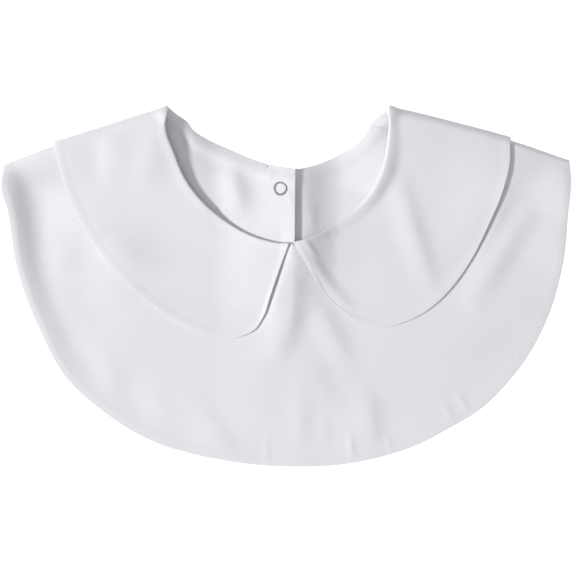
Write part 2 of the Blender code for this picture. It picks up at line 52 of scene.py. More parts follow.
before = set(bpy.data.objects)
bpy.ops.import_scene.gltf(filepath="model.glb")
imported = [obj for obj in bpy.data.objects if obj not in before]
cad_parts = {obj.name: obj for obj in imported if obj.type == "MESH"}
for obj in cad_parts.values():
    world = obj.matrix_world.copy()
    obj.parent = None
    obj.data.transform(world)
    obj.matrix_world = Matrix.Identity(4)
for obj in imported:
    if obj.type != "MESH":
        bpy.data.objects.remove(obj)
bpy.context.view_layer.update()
RING_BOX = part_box("snap_ring_inner")

MM = 0.001

# Cloth walls of the packed solids, which set the heights of the layers
SOLID_YOKE = 1.0
SOLID_LEAF = 1.2
SOLID_GAP = 0.3
FLOOR_LEVEL = SOLID_YOKE / 2
LAYER_STEP = SOLID_YOKE + SOLID_GAP
OVER_LEAF = SOLID_LEAF + SOLID_GAP

# The leaf rolls over the neck edge and back out over the yoke
LEAF_OFFSET = 1.05
LEAF_SLACK = 0.1
FRONT_SLACK = 0.2
ROLL_START = SOLID_LEAF / 2
BACK_ROLL = 0.5
BACK_ROLL_PLACE = 14.0
NECK_SETTLE = 5.5
SEAM_DEPTH = 4.0
LEAF_LIFT_FROM = 0.5
LEAF_LIFT_OVER = 0.45

# The yoke's neck edge lies inside that roll, and comes out of it where there is no leaf
YOKE_TUCK = 1.4
NECK_STEP = 0.4
TAB_FROM_X = 3.0
TAB_TO_X = 4.4
TAB_STEP = 0.5

# How far a layer takes to come down off what lies under it
LEAF_CLEAR = 7.0
LEAF_STEP = 24.0
HEM_CLEAR = 2.0
HEM_STEP = 36.0

# The back's neck band swells along its seam and falls to its edge
BAND_DROP = 0.45
BAND_DROP_WIDTH = 5.0
BAND_RISE = 1.2
BAND_CREST = 6.0
BAND_WIDTH = 3.6

# What a shoulder fold does dies out away from it, and creases die out towards it
SETTLE_EASE = 1.3
PAST_NECK = 15.0
PAST_NECK_FADE = 55.0
BOW_FADE = 45.0
CREASE_CLEAR = 8.0
DIP_CLEAR = 26.0

# Creases and folds: their strength at their ends, how soon they change to the width of
# their other side, and how far they reach under a leaf's edge
CREASE_ENDS = 0.45
FOLD_ENDS = 0.25
SIDE_BLEND = 1.5
COVER_EDGE = 4.0

# The raised strip just inside the hem
MARGIN_DEPTH = 2.2
MARGIN_INSIDE = 10.5
MARGIN_OUTSIDE = 30.0
MARGIN_SHARE = 1.15

# Centre back: both halves stand up there in one long low tent, which dies out to each side
TENT_HEIGHT = 6.3
TENT_LEFT_X = -50.0
TENT_FLAT_X = 6.0
TENT_RIGHT_X = 38.0
FRONT_TENT_FLAT_X = 3.0
FRONT_TENT_RIGHT_X = 54.0
FRONT_TENT_EASE = 1.8
FRONT_TENT_SOFT = 3.0
TENT_HIGH_Y = 44.0
TENT_LOW_Y = -40.0

# The left half laps over the right one there and stands up along its edge
LAP_START_X = -50.0
LAP_FULL_X = -13.0
RIDGE_START_X = -20.0
RIDGE_FULL_X = 24.0
RIDGE_HIGH = 5.4
RIDGE_LOW_Y = -30.0
RIDGE_HIGH_Y = 48.0
RIDGE_DROP_X = 8.0
RIDGE_DROP = 27.0

# The ring snap, and how it is pressed
SNAP_X = -3.7
SNAP_Y = 64.4
SNAP_PAD = 6.0
STUD_DROP = 0.3
RING_BEVEL = 0.1
RING_FOOT = 0.15

# Rows and columns of cloth points: round a free edge, round a shoulder roll, and between
EDGE_STEPS = (0.0, 0.04, 0.12, 0.25, 0.45, 0.8)
EDGE_ROUND = 0.42
ROLL_ANGLES = (1.0, 1.5, 2.4, 3.9, 6.2, 10, 16, 23, 30, 37, 44, 51, 58, 65, 72, 78, 84)
FADE_LENGTH = 30.0
OUTLINE_POINTS = 36
HEM_POINTS = 60
PROBE = 0.05
NECK_PROBE = 0.5
BATCH = 6000

# Hem stitches. The shape gives the girth at shares of a stitch's length, and rise and
# sink are shares of the thread's width.
STITCH_SHAPE = ((0.0, 0.25), (0.12, 0.8), (0.35, 1.0), (0.65, 1.0), (0.88, 0.8), (1.0, 0.25))
STITCH_SIDES = 6
STITCH_INSET = 5.2
STITCH_RISE = 0.35
STITCH_SINK = 0.3
STITCH_PROBE = 0.2
STITCH_COLUMNS = slice(6, -7)
THREAD_ROOM = 0.1

# Place over which the camera hangs, in metres
CAMERA_X = 0.00033
CAMERA_Y = -0.00067

Section = namedtuple("Section", "neck_x neck_y edge_x edge_y lift")
Shoulder = namedtuple(
    "Shoulder",
    "neck_x neck_y end_x end_y inward roll_neck roll_end settle_neck settle_end bow",
)
Crease = namedtuple("Crease", "from_x from_y to_x to_y width height")
Fold = namedtuple("Fold", "from_x from_y via_x via_y to_x to_y left right height")
Cloth = namedtuple("Cloth", "middle normal above below depth")
Roll = namedtuple("Roll", "place radius settle")

# The leaf's neck roll: distance from the shoulder, radius, and the width it settles over
LEFT_ROLLS = (Roll(0.0, 0.8, 5.5), Roll(150.0, 0.7, 5.5))
RIGHT_ROLLS = (
    Roll(0.0, 1.0, 6.0),
    Roll(12.0, 1.2, 8.0),
    Roll(24.0, 1.45, 10.0),
    Roll(38.0, 2.0, 10.5),
    Roll(54.0, 2.1, 8.5),
    Roll(70.0, 1.2, 8.0),
    Roll(90.0, 0.8, 5.5),
)

# Shoulder folds, from the neck to the shoulder's end, with the roll's radius at both
LEFT = Shoulder(-77.8, 118.1, -188.6, 79.4, 1, 5.6, 3.0, 95.0, 42.0, 1.4)
RIGHT = Shoulder(67.4, 118.0, 189.6, 82.3, -1, 5.0, 2.8, 80.0, 42.0, 2.4)

# Front yoke, from the left shoulder round to the right one. lift raises the hem margin.
YOKE_FRONT = (
    Section(-77.8, 118.1, -187.6, 79.75, 0.0),
    Section(-78.7, 111.6, -188.8, 69.0, 4.2),
    Section(-77.6, 100.0, -184.9, 50.0, 5.1),
    Section(-73.5, 87.0, -179.6, 14.0, 4.9),
    Section(-66.0, 70.0, -165.0, -27.5, 3.4),
    Section(-52.7, 53.6, -139.5, -69.2, 1.7),
    Section(-44.8, 46.8, -115.2, -89.0, 1.2),
    Section(-36.0, 40.6, -92.0, -102.6, 0.8),
    Section(-25.0, 34.6, -65.0, -111.7, 0.4),
    Section(-12.0, 30.2, -30.0, -118.4, 0.2),
    Section(3.6, 28.6, 6.0, -120.8, 0.3),
    Section(20.0, 34.6, 46.0, -118.0, 0.4),
    Section(32.0, 41.2, 79.0, -109.4, 0.3),
    Section(43.6, 49.4, 108.0, -95.4, 0.2),
    Section(51.0, 57.4, 132.4, -80.0, 0.2),
    Section(57.6, 66.6, 156.6, -53.4, 0.3),
    Section(62.4, 76.0, 171.6, -27.5, 0.4),
    Section(66.4, 92.0, 184.2, 14.0, 0.6),
    Section(67.4, 105.6, 187.6, 50.0, 0.8),
    Section(67.5, 113.2, 189.2, 72.0, 0.6),
    Section(67.4, 118.0, 188.4, 82.65, 0.0),
)

# Back halves, from the shoulder round to the centre back edge
YOKE_BACK_LEFT = (
    Section(-77.8, 118.1, -187.6, 79.75, 0.0),
    Section(-70.6, 112.9, -178.5, 60.0, 0.0),
    Section(-61.0, 103.2, -160.0, 20.0, 0.0),
    Section(-46.0, 94.2, -128.0, -26.0, 0.0),
    Section(-29.0, 86.6, -84.0, -60.0, 0.0),
    Section(-11.0, 79.6, -38.0, -73.5, 0.0),
    Section(6.4, 76.4, 5.0, -76.5, 0.0),
)
YOKE_BACK_RIGHT = (
    Section(67.4, 118.0, 188.4, 82.65, 0.0),
    Section(61.5, 112.6, 179.5, 63.0, 0.0),
    Section(51.0, 98.6, 162.0, 18.0, 0.0),
    Section(37.0, 88.0, 130.0, -27.0, 0.0),
    Section(21.0, 80.8, 88.0, -57.0, 0.0),
    Section(6.4, 77.6, 40.0, -72.5, 0.0),
    Section(-11.8, 78.6, -11.8, -76.0, 0.0),
)

# Leaves over the front, from the shoulder to the centre front. lift raises the outer edge.
LEAF_FRONT_LEFT = (
    Section(-77.8, 118.1, -153.0, 91.92, 1.0),
    Section(-78.7, 111.6, -150.8, 81.5, 1.6),
    Section(-77.6, 100.0, -146.0, 64.5, 1.2),
    Section(-73.5, 87.0, -135.5, 40.0, 0.8),
    Section(-66.0, 70.0, -119.3, 15.0, 0.6),
    Section(-54.0, 54.8, -95.0, -8.8, 0.5),
    Section(-39.0, 42.6, -70.7, -25.0, 0.3),
    Section(-25.0, 34.6, -50.0, -33.2, 0.1),
    Section(-12.0, 30.2, -32.0, -34.6, 0.0),
    Section(-4.0, 28.8, -20.0, -29.0, 0.0),
    Section(2.8, 28.6, -12.6, -18.0, 0.2),
)
LEAF_FRONT_RIGHT = (
    Section(67.4, 118.0, 148.2, 94.4, 0.7),
    Section(67.5, 111.4, 148.3, 84.0, 1.0),
    Section(67.1, 102.0, 145.2, 67.0, 1.5),
    Section(65.6, 88.0, 137.0, 43.5, 1.3),
    Section(61.0, 73.0, 122.0, 14.0, 0.6),
    Section(53.6, 60.6, 104.0, -8.5, 0.1),
    Section(43.6, 49.4, 84.0, -22.5, 0.0),
    Section(32.0, 41.2, 62.0, -27.9, 0.1),
    Section(20.0, 34.6, 43.0, -22.3, 0.4),
    Section(11.0, 31.0, 30.0, -11.5, 0.6),
    Section(4.6, 29.0, 20.0, 2.0, 0.6),
)

# Leaves under the back, from the shoulder to the centre back
LEAF_BACK_LEFT = (
    Section(-77.8, 118.1, -153.0, 91.92, 0.0),
    Section(-70.6, 112.9, -145.0, 75.0, 0.0),
    Section(-62.0, 104.0, -129.0, 53.0, 0.0),
    Section(-50.0, 96.4, -104.0, 33.0, 0.0),
    Section(-38.0, 91.0, -74.0, 21.6, 0.0),
    Section(-27.5, 86.2, -49.0, 19.8, 0.0),
    Section(-18.8, 82.7, -30.0, 31.0, 0.0),
    Section(-11.6, 79.9, -20.0, 49.0, 0.0),
)
LEAF_BACK_RIGHT = (
    Section(67.4, 118.0, 148.2, 94.4, 0.0),
    Section(61.5, 112.6, 140.5, 78.0, 0.0),
    Section(52.0, 99.6, 122.0, 52.5, 0.0),
    Section(41.0, 90.4, 96.0, 33.5, 0.0),
    Section(30.0, 84.6, 66.0, 21.8, 0.0),
    Section(20.0, 80.5, 41.5, 20.4, 0.0),
    Section(11.0, 78.2, 23.5, 31.0, 0.0),
    Section(3.6, 77.2, 13.0, 49.5, 0.0),
)

# Largest soft creases. The packed solids have all of them but the last.
YOKE_CREASES = (
    Crease(158.0, 45.0, 125.0, -8.0, 8.0, 2.2),
    Crease(-6.0, 6.0, -9.0, -28.0, 7.0, 0.8),
    Crease(16.0, -46.0, 44.0, -112.0, 9.0, 0.6),
    Crease(-124.0, 28.0, -98.0, -8.0, 22.0, 2.8),
)

# Finer folds, listed one by one: a line that bends past its middle point, with its own width on
# the left and right of its run. A height below zero is a trough.
FRONT_FOLDS = (
    Fold(-157.0, 80.0, -166.0, 50.0, -164.0, 10.0, 9.0, 12.0, -0.7),
    Fold(-146.0, 40.0, -150.0, 20.0, -144.0, -14.0, 12.0, 10.0, 0.8),
    Fold(2.5, 28.0, 4.5, 0.0, 1.0, -34.0, 8.0, 24.0, 2.5),
    Fold(5.0, -12.0, -1.0, -32.0, -9.0, -49.0, 8.0, 10.0, 1.9),
    Fold(21.0, -16.0, 31.0, -30.0, 39.0, -54.0, 8.0, 10.0, 1.8),
    Fold(53.0, -72.0, 56.0, -90.0, 57.0, -108.0, 7.0, 14.0, 1.4),
    Fold(9.0, -72.0, 10.0, -92.0, 11.0, -110.0, 7.0, 7.0, 0.6),
    Fold(-58.0, -80.0, -47.0, -96.0, -37.0, -113.0, 7.0, 12.0, 0.9),
    Fold(-121.0, -48.0, -118.0, -62.0, -111.0, -78.0, 9.0, 9.0, 0.9),
    Fold(-92.0, -70.0, -84.0, -82.0, -76.0, -92.0, 8.0, 9.0, 0.5),
    Fold(24.0, -88.0, 25.0, -97.0, 27.0, -106.0, 5.0, 6.0, 0.6),
    Fold(-13.5, -102.0, -13.0, -110.0, -13.0, -116.0, 1.6, 1.6, 0.3),
    Fold(43.0, -100.0, 43.4, -107.0, 43.6, -114.0, 1.7, 1.7, 0.6),
    Fold(68.0, -101.0, 69.0, -106.0, 70.0, -111.0, 1.6, 1.6, 0.4),
    Fold(105.0, -78.0, 108.0, -85.0, 111.0, -90.0, 1.8, 1.6, 0.4),
    Fold(114.0, -72.0, 118.0, -79.0, 121.0, -83.0, 1.8, 1.6, 0.5),
    Fold(185.0, 46.0, 185.0, 26.0, 180.0, 6.0, 8.0, 22.0, 1.6),
    Fold(146.5, 74.0, 141.5, 44.0, 120.5, 6.0, 7.5, 4.0, 1.3),
    Fold(183.0, 82.0, 184.0, 66.0, 184.0, 48.0, 6.0, 18.0, 1.4),
)
# Where the front sinks away under a leaf's edge, and the leaf doesn't
FRONT_DIPS = (Fold(-144.0, 98.0, -149.0, 78.0, -155.0, 58.0, 14.0, 22.0, -4.9),)
LEAF_LEFT_FOLDS = (
    Fold(-118.0, 100.0, -116.0, 80.0, -112.0, 52.0, 24.0, 24.0, 1.8),
    Fold(-127.5, 104.0, -127.5, 86.0, -127.0, 66.0, 8.0, 15.0, -1.5),
    Fold(-84.0, 106.0, -90.0, 86.0, -94.0, 62.0, 11.0, 9.0, 1.2),
    Fold(-5.0, 24.0, -12.0, 2.0, -22.0, -20.0, 12.0, 18.0, 1.7),
)
LEAF_RIGHT_FOLDS = (
    Fold(75.0, 70.0, 83.0, 38.0, 97.0, -1.0, 7.0, 9.0, 1.8),
    Fold(8.5, 29.5, 20.0, 8.0, 42.0, -15.0, 4.6, 5.0, 1.5),
    Fold(11.0, 32.0, 14.5, 27.0, 20.0, 19.0, 1.6, 2.4, 0.6),
    Fold(24.0, 37.0, 26.0, 32.0, 29.0, 26.0, 1.6, 2.4, 0.14),
    Fold(30.0, 41.0, 32.0, 35.0, 35.0, 29.0, 1.8, 2.6, 0.14),
)
BACK_LEFT_FOLDS = (
    Fold(-77.0, 114.0, -74.0, 82.0, -46.0, 52.0, 18.0, 8.0, 4.2),
    Fold(-71.0, 104.0, -69.0, 98.0, -66.0, 92.0, 4.0, 4.0, -1.4),
    Fold(-38.5, 80.0, -33.5, 66.0, -31.0, 48.0, 8.0, 9.0, 3.6),
    Fold(-13.0, 78.0, -11.0, 74.0, -9.0, 70.0, 2.5, 2.5, 0.5),
    Fold(1.0, 60.0, 3.0, 56.0, 5.0, 52.0, 1.5, 1.5, 0.5),
)
BACK_RIGHT_FOLDS = (
    Fold(11.5, 82.0, 11.5, 56.0, 12.0, 30.0, 9.0, 3.0, 1.5),
    Fold(17.0, 52.0, 17.0, 44.0, 18.0, 37.0, 3.0, 3.0, 0.5),
    Fold(71.0, 104.0, 67.0, 84.0, 59.0, 58.0, 14.0, 21.0, 6.6),
)


# Cloth form in plan and height


def smooth(share):
    """An ease from 0 to 1."""
    share = np.clip(share, 0.0, 1.0)
    return share * share * (3 - 2 * share)


def smooth_curve(rows, knots, at):
    """Values on a smooth curve through the rows, which stand at the rising knots."""
    rows = np.asarray(rows, float)
    chords = np.diff(rows, axis=0) / np.diff(knots)[:, None]
    near, far = np.diff(knots)[:-1, None], np.diff(knots)[1:, None]
    slopes = np.vstack(
        [chords[:1], (far * chords[:-1] + near * chords[1:]) / (near + far), chords[-1:]]
    )
    at = np.clip(np.atleast_1d(at), knots[0], knots[-1])
    span = np.clip(np.searchsorted(knots, at, side="right") - 1, 0, len(knots) - 2)
    width = np.diff(knots)[span][:, None]
    share = (at - knots[span])[:, None] / width
    start = (1 + 2 * share) * (1 - share) ** 2 * rows[span]
    end = share**2 * (3 - 2 * share) * rows[span + 1]
    bend = share * (1 - share) * width
    return start + end + bend * ((1 - share) * slopes[span] - share * slopes[span + 1])


def neck_knots(sections):
    """Distance along the neck edge at which each section stands."""
    neck = np.array([(s.neck_x, s.neck_y) for s in sections])
    return np.r_[0.0, np.cumsum(np.linalg.norm(np.diff(neck, axis=0), axis=1))]


def section_lines(sections, along):
    """Neck point, edge point and lift of the sections at these distances along the neck."""
    values = smooth_curve(sections, neck_knots(sections), along)
    return values[:, 0:2], values[:, 2:4], values[:, 4]


def segment_distance(points, start, end):
    """Distance from each point to each segment, and the share of it where that is."""
    run = end - start
    to_point = points[:, None, :] - start
    share = np.clip((to_point * run).sum(2) / (run**2).sum(1), 0.0, 1.0)
    return np.linalg.norm(to_point - share[..., None] * run, axis=2), share


def line_distance(points, line):
    """Distance from each point to an open line."""
    return segment_distance(points, line[:-1], line[1:])[0].min(1)


def outline_distance(points, outline):
    """Distance outside a closed outline, and less than zero inside it."""
    start, end = outline, np.roll(outline, -1, axis=0)
    distance = segment_distance(points, start, end)[0].min(1)
    x, y = points[:, 0:1], points[:, 1:2]
    crosses = (start[:, 1] > y) != (end[:, 1] > y)
    rise = np.where(end[:, 1] == start[:, 1], 1.0, end[:, 1] - start[:, 1])
    at_x = start[:, 0] + (y - start[:, 1]) * (end[:, 0] - start[:, 0]) / rise
    inside = (crosses & (x < at_x)).sum(1) % 2 == 1
    return np.where(inside, -distance, distance)


def panel_outline(sections, count=OUTLINE_POINTS):
    """The outline of a flat panel: out along its neck edge and back along its outer edge."""
    knots = neck_knots(sections)
    neck, edge, _ = section_lines(sections, np.linspace(0.0, knots[-1], count))
    return np.vstack([neck, edge[::-1]])


def fold_frame(fold):
    """Neck end of a shoulder fold, its outward direction, its inward normal and its length."""
    start = np.array([fold.neck_x, fold.neck_y])
    run = np.array([fold.end_x, fold.end_y]) - start
    length = np.linalg.norm(run)
    out = run / length
    inward = np.array([-out[1], out[0]]) * fold.inward
    return start, out, inward, length


def fold_place(fold, points):
    """Share along a shoulder fold, and distance in from it."""
    start, out, inward, length = fold_frame(fold)
    share = np.clip((points - start) @ out / length, 0.0, 1.0)
    return share, (points - start) @ inward


def roll_radius(fold, share):
    """Radius of a shoulder roll at a share along its fold."""
    return fold.roll_neck + (fold.roll_end - fold.roll_neck) * share


def roll_lean(fold, points):
    """Radius of a shoulder roll beside each point, and how far the cloth leans over there."""
    share, depth = fold_place(fold, points)
    radius = roll_radius(fold, share)
    return radius, np.clip(1 - depth / radius, 0.0, 1.0)


def from_shoulders(points):
    """Distance in from the nearer shoulder fold."""
    return np.minimum(fold_place(LEFT, points)[1], fold_place(RIGHT, points)[1])


def settling(fold, points):
    """1 at a shoulder roll, falling to 0 where the front lies down on the back."""
    start, out, _, _ = fold_frame(fold)
    share, depth = fold_place(fold, points)
    length = fold.settle_neck + (fold.settle_end - fold.settle_neck) * share
    past = np.clip((depth - roll_radius(fold, share)) / length, 0.0, 1.0)
    beyond_neck = -(points - start) @ out
    beside = 1 - smooth((beyond_neck - PAST_NECK) / PAST_NECK_FADE)
    return (1 - smooth(past**SETTLE_EASE)) * beside


def crease_height(points, creases):
    """Added height of soft ridges, each strongest halfway along."""
    height = np.zeros(len(points))
    for crease in creases:
        start = np.array([[crease.from_x, crease.from_y]])
        end = np.array([[crease.to_x, crease.to_y]])
        distance, share = segment_distance(points, start, end)
        along = CREASE_ENDS + (1 - CREASE_ENDS) * np.sin(np.pi * share[:, 0])
        height += crease.height * along * np.exp(-((distance[:, 0] / crease.width) ** 2))
    return height


def fold_relief(points, folds, steps=10, swell=0.8):
    """Added height of bent ridges and troughs that are wider on one side than the other.

    Each is strongest halfway, and a larger swell lets its ends die out more softly.
    """
    height = np.zeros(len(points))
    share = np.linspace(0.0, 1.0, steps + 1)[:, None]
    for fold in folds:
        start = np.array([fold.from_x, fold.from_y])
        via = np.array([fold.via_x, fold.via_y])
        end = np.array([fold.to_x, fold.to_y])
        line = start * (1 - share) ** 2 + 2 * via * share * (1 - share) + end * share**2
        distance, part = segment_distance(points, line[:-1], line[1:])
        nearest = distance.argmin(1)
        picked = np.arange(len(points))
        run = (line[1:] - line[:-1])[nearest]
        away = points - line[nearest]
        side = run[:, 0] * away[:, 1] - run[:, 1] * away[:, 0]
        side = side / (np.linalg.norm(run, axis=1) * np.linalg.norm(away, axis=1) + 1e-9)
        middle, half = (fold.left + fold.right) / 2, (fold.left - fold.right) / 2
        width = middle + half * np.clip(side * SIDE_BLEND, -1.0, 1.0)
        along = (nearest + part[picked, nearest]) / steps
        strength = FOLD_ENDS + (1 - FOLD_ENDS) * np.sin(np.pi * along) ** swell
        bell = np.exp(-((distance[picked, nearest] / width) ** 2))
        height += fold.height * strength * bell
    return height


LEAF_UNDER = (panel_outline(LEAF_BACK_LEFT), panel_outline(LEAF_BACK_RIGHT))
LEAF_OVER = (panel_outline(LEAF_FRONT_LEFT), panel_outline(LEAF_FRONT_RIGHT))
BACK_OUTLINES = (panel_outline(YOKE_BACK_LEFT), panel_outline(YOKE_BACK_RIGHT))
BACK_NECK = np.vstack(
    [BACK_OUTLINES[0][:OUTLINE_POINTS], BACK_OUTLINES[1][:OUTLINE_POINTS][::-1]]
)
HEM_LINE = panel_outline(YOKE_FRONT, HEM_POINTS)[HEM_POINTS:]


def neck_band(distance):
    """Height of the back's neck band: it swells along its seam and falls to its edge."""
    swell = BAND_RISE * np.exp(-(((distance - BAND_CREST) / BAND_WIDTH) ** 2))
    return swell - BAND_DROP * (1 - smooth(distance / BAND_DROP_WIDTH))


def tent_height(face, points):
    """Height by which the lapped centre back stands up, and the front over it."""
    x, y = points.T
    left = smooth((x - TENT_LEFT_X) / (TENT_FLAT_X - TENT_LEFT_X))
    along = smooth((y - TENT_LOW_Y) / (TENT_HIGH_Y - TENT_LOW_Y))
    right = 1 - smooth((x - TENT_FLAT_X) / (TENT_RIGHT_X - TENT_FLAT_X))
    if face == "front":
        past = x - FRONT_TENT_FLAT_X
        past = (past + np.sqrt(past**2 + 2 * FRONT_TENT_SOFT**2)) / 2
        right = np.clip(1 - past / (FRONT_TENT_RIGHT_X - FRONT_TENT_FLAT_X), 0.0, 1.0)
        right = right**FRONT_TENT_EASE
    return TENT_HEIGHT * left * right * along


def base_level(face, points):
    """Height of the back cloth: on the floor, or over the leaves and the snap under it."""
    near = np.minimum(*[outline_distance(points, outline) for outline in LEAF_UNDER])
    snap = np.linalg.norm(points - (SNAP_X, SNAP_Y), axis=1) - SNAP_PAD
    near = np.minimum(near, snap)
    over = OVER_LEAF * (1 - smooth((near - LEAF_CLEAR) / LEAF_STEP))
    over = over + tent_height(face, points)
    return FLOOR_LEVEL + over + neck_band(line_distance(points, BACK_NECK))


def ridge_height(points):
    """Height of the left back half over the right one."""
    x, y = points.T
    high = RIDGE_HIGH * smooth((y - RIDGE_LOW_Y) / (RIDGE_HIGH_Y - RIDGE_LOW_Y))
    lap = LAYER_STEP * smooth((x - LAP_START_X) / (LAP_FULL_X - LAP_START_X))
    return lap + high * smooth((x - RIDGE_START_X) / (RIDGE_FULL_X - RIDGE_START_X))


def front_level(points):
    """Height of the front cloth over the base, without what the shoulder rolls add."""
    x = points[:, 0]
    hem_gap = np.minimum(*[outline_distance(points, outline) for outline in BACK_OUTLINES])
    on_back = 1 - smooth((hem_gap - HEM_CLEAR) / HEM_STEP)
    ridge = ridge_height(points) * (1 - smooth((x - RIDGE_DROP_X) / RIDGE_DROP))
    return (LAYER_STEP + FRONT_SLACK) * on_back, ridge * on_back


def margin_lift(points):
    """Lift of the front's hem margin, from the lift column of its sections."""
    distance, share = segment_distance(points, HEM_LINE[:-1], HEM_LINE[1:])
    nearest = distance.argmin(1)
    picked = np.arange(len(points))
    places = np.linspace(0.0, neck_knots(YOKE_FRONT)[-1], HEM_POINTS)
    lifts = section_lines(YOKE_FRONT, places)[2][::-1]
    part = share[picked, nearest]
    lift = lifts[nearest] * (1 - part) + lifts[nearest + 1] * part
    from_crest = distance[picked, nearest] - MARGIN_DEPTH
    width = np.where(from_crest > 0, MARGIN_INSIDE, MARGIN_OUTSIDE)
    return MARGIN_SHARE * lift * np.exp(-((from_crest / width) ** 2))


def shown_relief(face, points):
    """Fine folds of a yoke, left out where a leaf lies on it."""
    if face == "back_left":
        return fold_relief(points, BACK_LEFT_FOLDS)
    if face == "back_right":
        return fold_relief(points, BACK_RIGHT_FOLDS)
    cover = np.minimum(*[outline_distance(points, outline) for outline in LEAF_OVER])
    return fold_relief(points, FRONT_FOLDS) * smooth((cover + COVER_EDGE) / (2 * COVER_EDGE))


def cloth_level(face, points):
    """Height of a yoke's middle, and the part of it that a shoulder roll adds."""
    base = base_level(face, points)
    turned = np.zeros(len(points))
    if face == "back_right":
        height = base
    elif face == "back_left":
        height = base + ridge_height(points)
    else:
        over, ridge = front_level(points)
        height = base + over + ridge
    for fold in (LEFT, RIGHT):
        radius, lean = roll_lean(fold, points)
        roll = radius * np.sqrt(1 - lean**2)
        if face == "front":
            height = height + (2 * radius - over) * settling(fold, points) + roll - radius
            turned += roll - radius
        else:
            height = height + radius - roll
            turned += radius - roll
    extra = shown_relief(face, points)
    if face == "front":
        extra = extra + margin_lift(points) + crease_height(points, YOKE_CREASES)
    return height + extra * smooth(from_shoulders(points) / CREASE_CLEAR), turned


def cloth_surface(face, points):
    """Points on the middle of a yoke, and the outward normal there."""
    if len(points) > BATCH:
        halves = np.array_split(points, len(points) // BATCH + 1)
        parts = [cloth_surface(face, half) for half in halves]
        return np.vstack([p[0] for p in parts]), np.vstack([p[1] for p in parts])
    height, turned = cloth_level(face, points)
    steady = height - turned
    slope = np.zeros((len(points), 2))
    for axis in (0, 1):
        step = np.zeros(2)
        step[axis] = PROBE
        ahead = cloth_level(face, points + step)
        slope[:, axis] = (ahead[0] - ahead[1] - steady) / PROBE
    up = 1.0 if face == "front" else -1.0
    normal = np.column_stack([-up * slope, np.full(len(points), up)])
    for fold in (LEFT, RIGHT):
        _, lean = roll_lean(fold, points)
        upright = np.sqrt(1 - lean**2)
        inward = fold_frame(fold)[2]
        rolled_normal = np.column_stack(
            [upright[:, None] * -up * slope - lean[:, None] * inward, up * upright]
        )
        normal = np.where((lean > 0)[:, None], rolled_normal, normal)
    normal /= np.linalg.norm(normal, axis=1)[:, None]
    return np.column_stack([points, height]), normal


def bowed(points):
    """The shoulder lines' slight outward bow, given to all layers alike."""
    moved = points.copy()
    for fold in (LEFT, RIGHT):
        share, depth = fold_place(fold, points[:, :2])
        inward = fold_frame(fold)[2]
        amount = fold.bow * 4 * share * (1 - share) * np.exp(-((depth / BOW_FADE) ** 2))
        moved[:, :2] -= amount[:, None] * inward
    return moved


def leaving(sections, share, at_end=False):
    """Directions in which the neck and outer edges leave a shoulder fold, mixed by share."""
    total = neck_knots(sections)[-1]
    along = np.array([total, total - NECK_PROBE] if at_end else [0.0, NECK_PROBE])
    neck, edge, _ = section_lines(sections, along)
    neck_way = (neck[1] - neck[0]) / np.linalg.norm(neck[1] - neck[0])
    edge_way = (edge[1] - edge[0]) / np.linalg.norm(edge[1] - edge[0])
    return neck_way + share[:, None] * (edge_way - neck_way)


def column_points(sections, fold, along, angle, depths, at_end=False):
    """Plan points down one column of a panel, and its lift.

    A column stands in the shoulder roll, at an angle round it, or past the roll, at a
    distance along the neck edge. depths gives distances out from the neck edge.
    """
    total = neck_knots(sections)[-1]
    place = total if at_end and angle < 90 else (0.0 if angle < 90 else along)
    neck, edge, lift = section_lines(sections, [place])
    length = np.linalg.norm(edge[0] - neck[0])
    share = depths / length
    points = neck[0] + share[:, None] * (edge[0] - neck[0])
    _, _, inward, _ = fold_frame(fold)
    way = leaving(sections, share, at_end)
    way = way / (way @ inward)[:, None]
    radius = roll_radius(fold, fold_place(fold, points)[0])
    from_fold = total - along if at_end else along
    spread = 1 - np.cos(np.radians(min(angle, 90.0)))
    fade = 1 - smooth(from_fold / FADE_LENGTH) if angle >= 90 else 1.0
    return points + way * (radius * spread * fade)[:, None], lift[0]


def column_length(sections, place):
    """Distance from the neck edge to the outer edge at a distance along the neck."""
    neck, edge, _ = section_lines(sections, [place])
    return np.linalg.norm(edge[0] - neck[0])


# Grids of cloth points


def edge_rows(start, end, count):
    """Distances from start to end, crowded at both for the rounding of the edges."""
    steps = np.array(EDGE_STEPS)
    inner = np.linspace(start + steps[-1], end - steps[-1], count)[1:-1]
    return np.r_[start + steps, inner, end - steps[::-1]]


def panel_columns(sections, spacing, roll_at_end=False, seam=True):
    """(distance along the neck, angle round the roll) of each column of a panel."""
    total = neck_knots(sections)[-1]
    angles = ROLL_ANGLES if seam else (0.0,) + ROLL_ANGLES[4:]
    first = [(0.0, float(angle)) for angle in angles] + [(0.0, 90.0)]
    if roll_at_end:
        count = int(total / spacing)
        middle = [(place, 90.0) for place in np.linspace(0.0, total, count)[1:-1]]
        return first + middle + [(total - place, angle) for place, angle in first[::-1]]
    end = total - np.array(EDGE_STEPS[::-1])
    count = int(end[0] / spacing)
    middle = np.linspace(0.0, end[0], count)[1:-1]
    return first + [(place, 90.0) for place in np.r_[middle, end]]


def roll_edge_distance(angle, radius):
    """Distance from the shoulder seam to a column that stands in the roll."""
    return radius * np.radians(max(angle - ROLL_ANGLES[0], 0.0))


def rounded(distance):
    """Share of the wall's half thickness at a distance from a free edge."""
    near = np.clip(1 - distance / EDGE_ROUND, 0.0, 1.0)
    return np.sqrt(np.clip(1 - near**2, 0.0, 1.0))


def grid_normals(middle, outward):
    """Normals of a grid of points, turned to the side that outward gives."""
    across = np.gradient(middle, axis=0)
    down = np.gradient(middle, axis=1)
    normal = np.cross(across, down)
    normal /= np.linalg.norm(normal, axis=2)[..., None] + 1e-12
    side = np.sign((normal * outward).sum(2))
    return normal * np.where(side == 0, 1.0, side)[..., None]


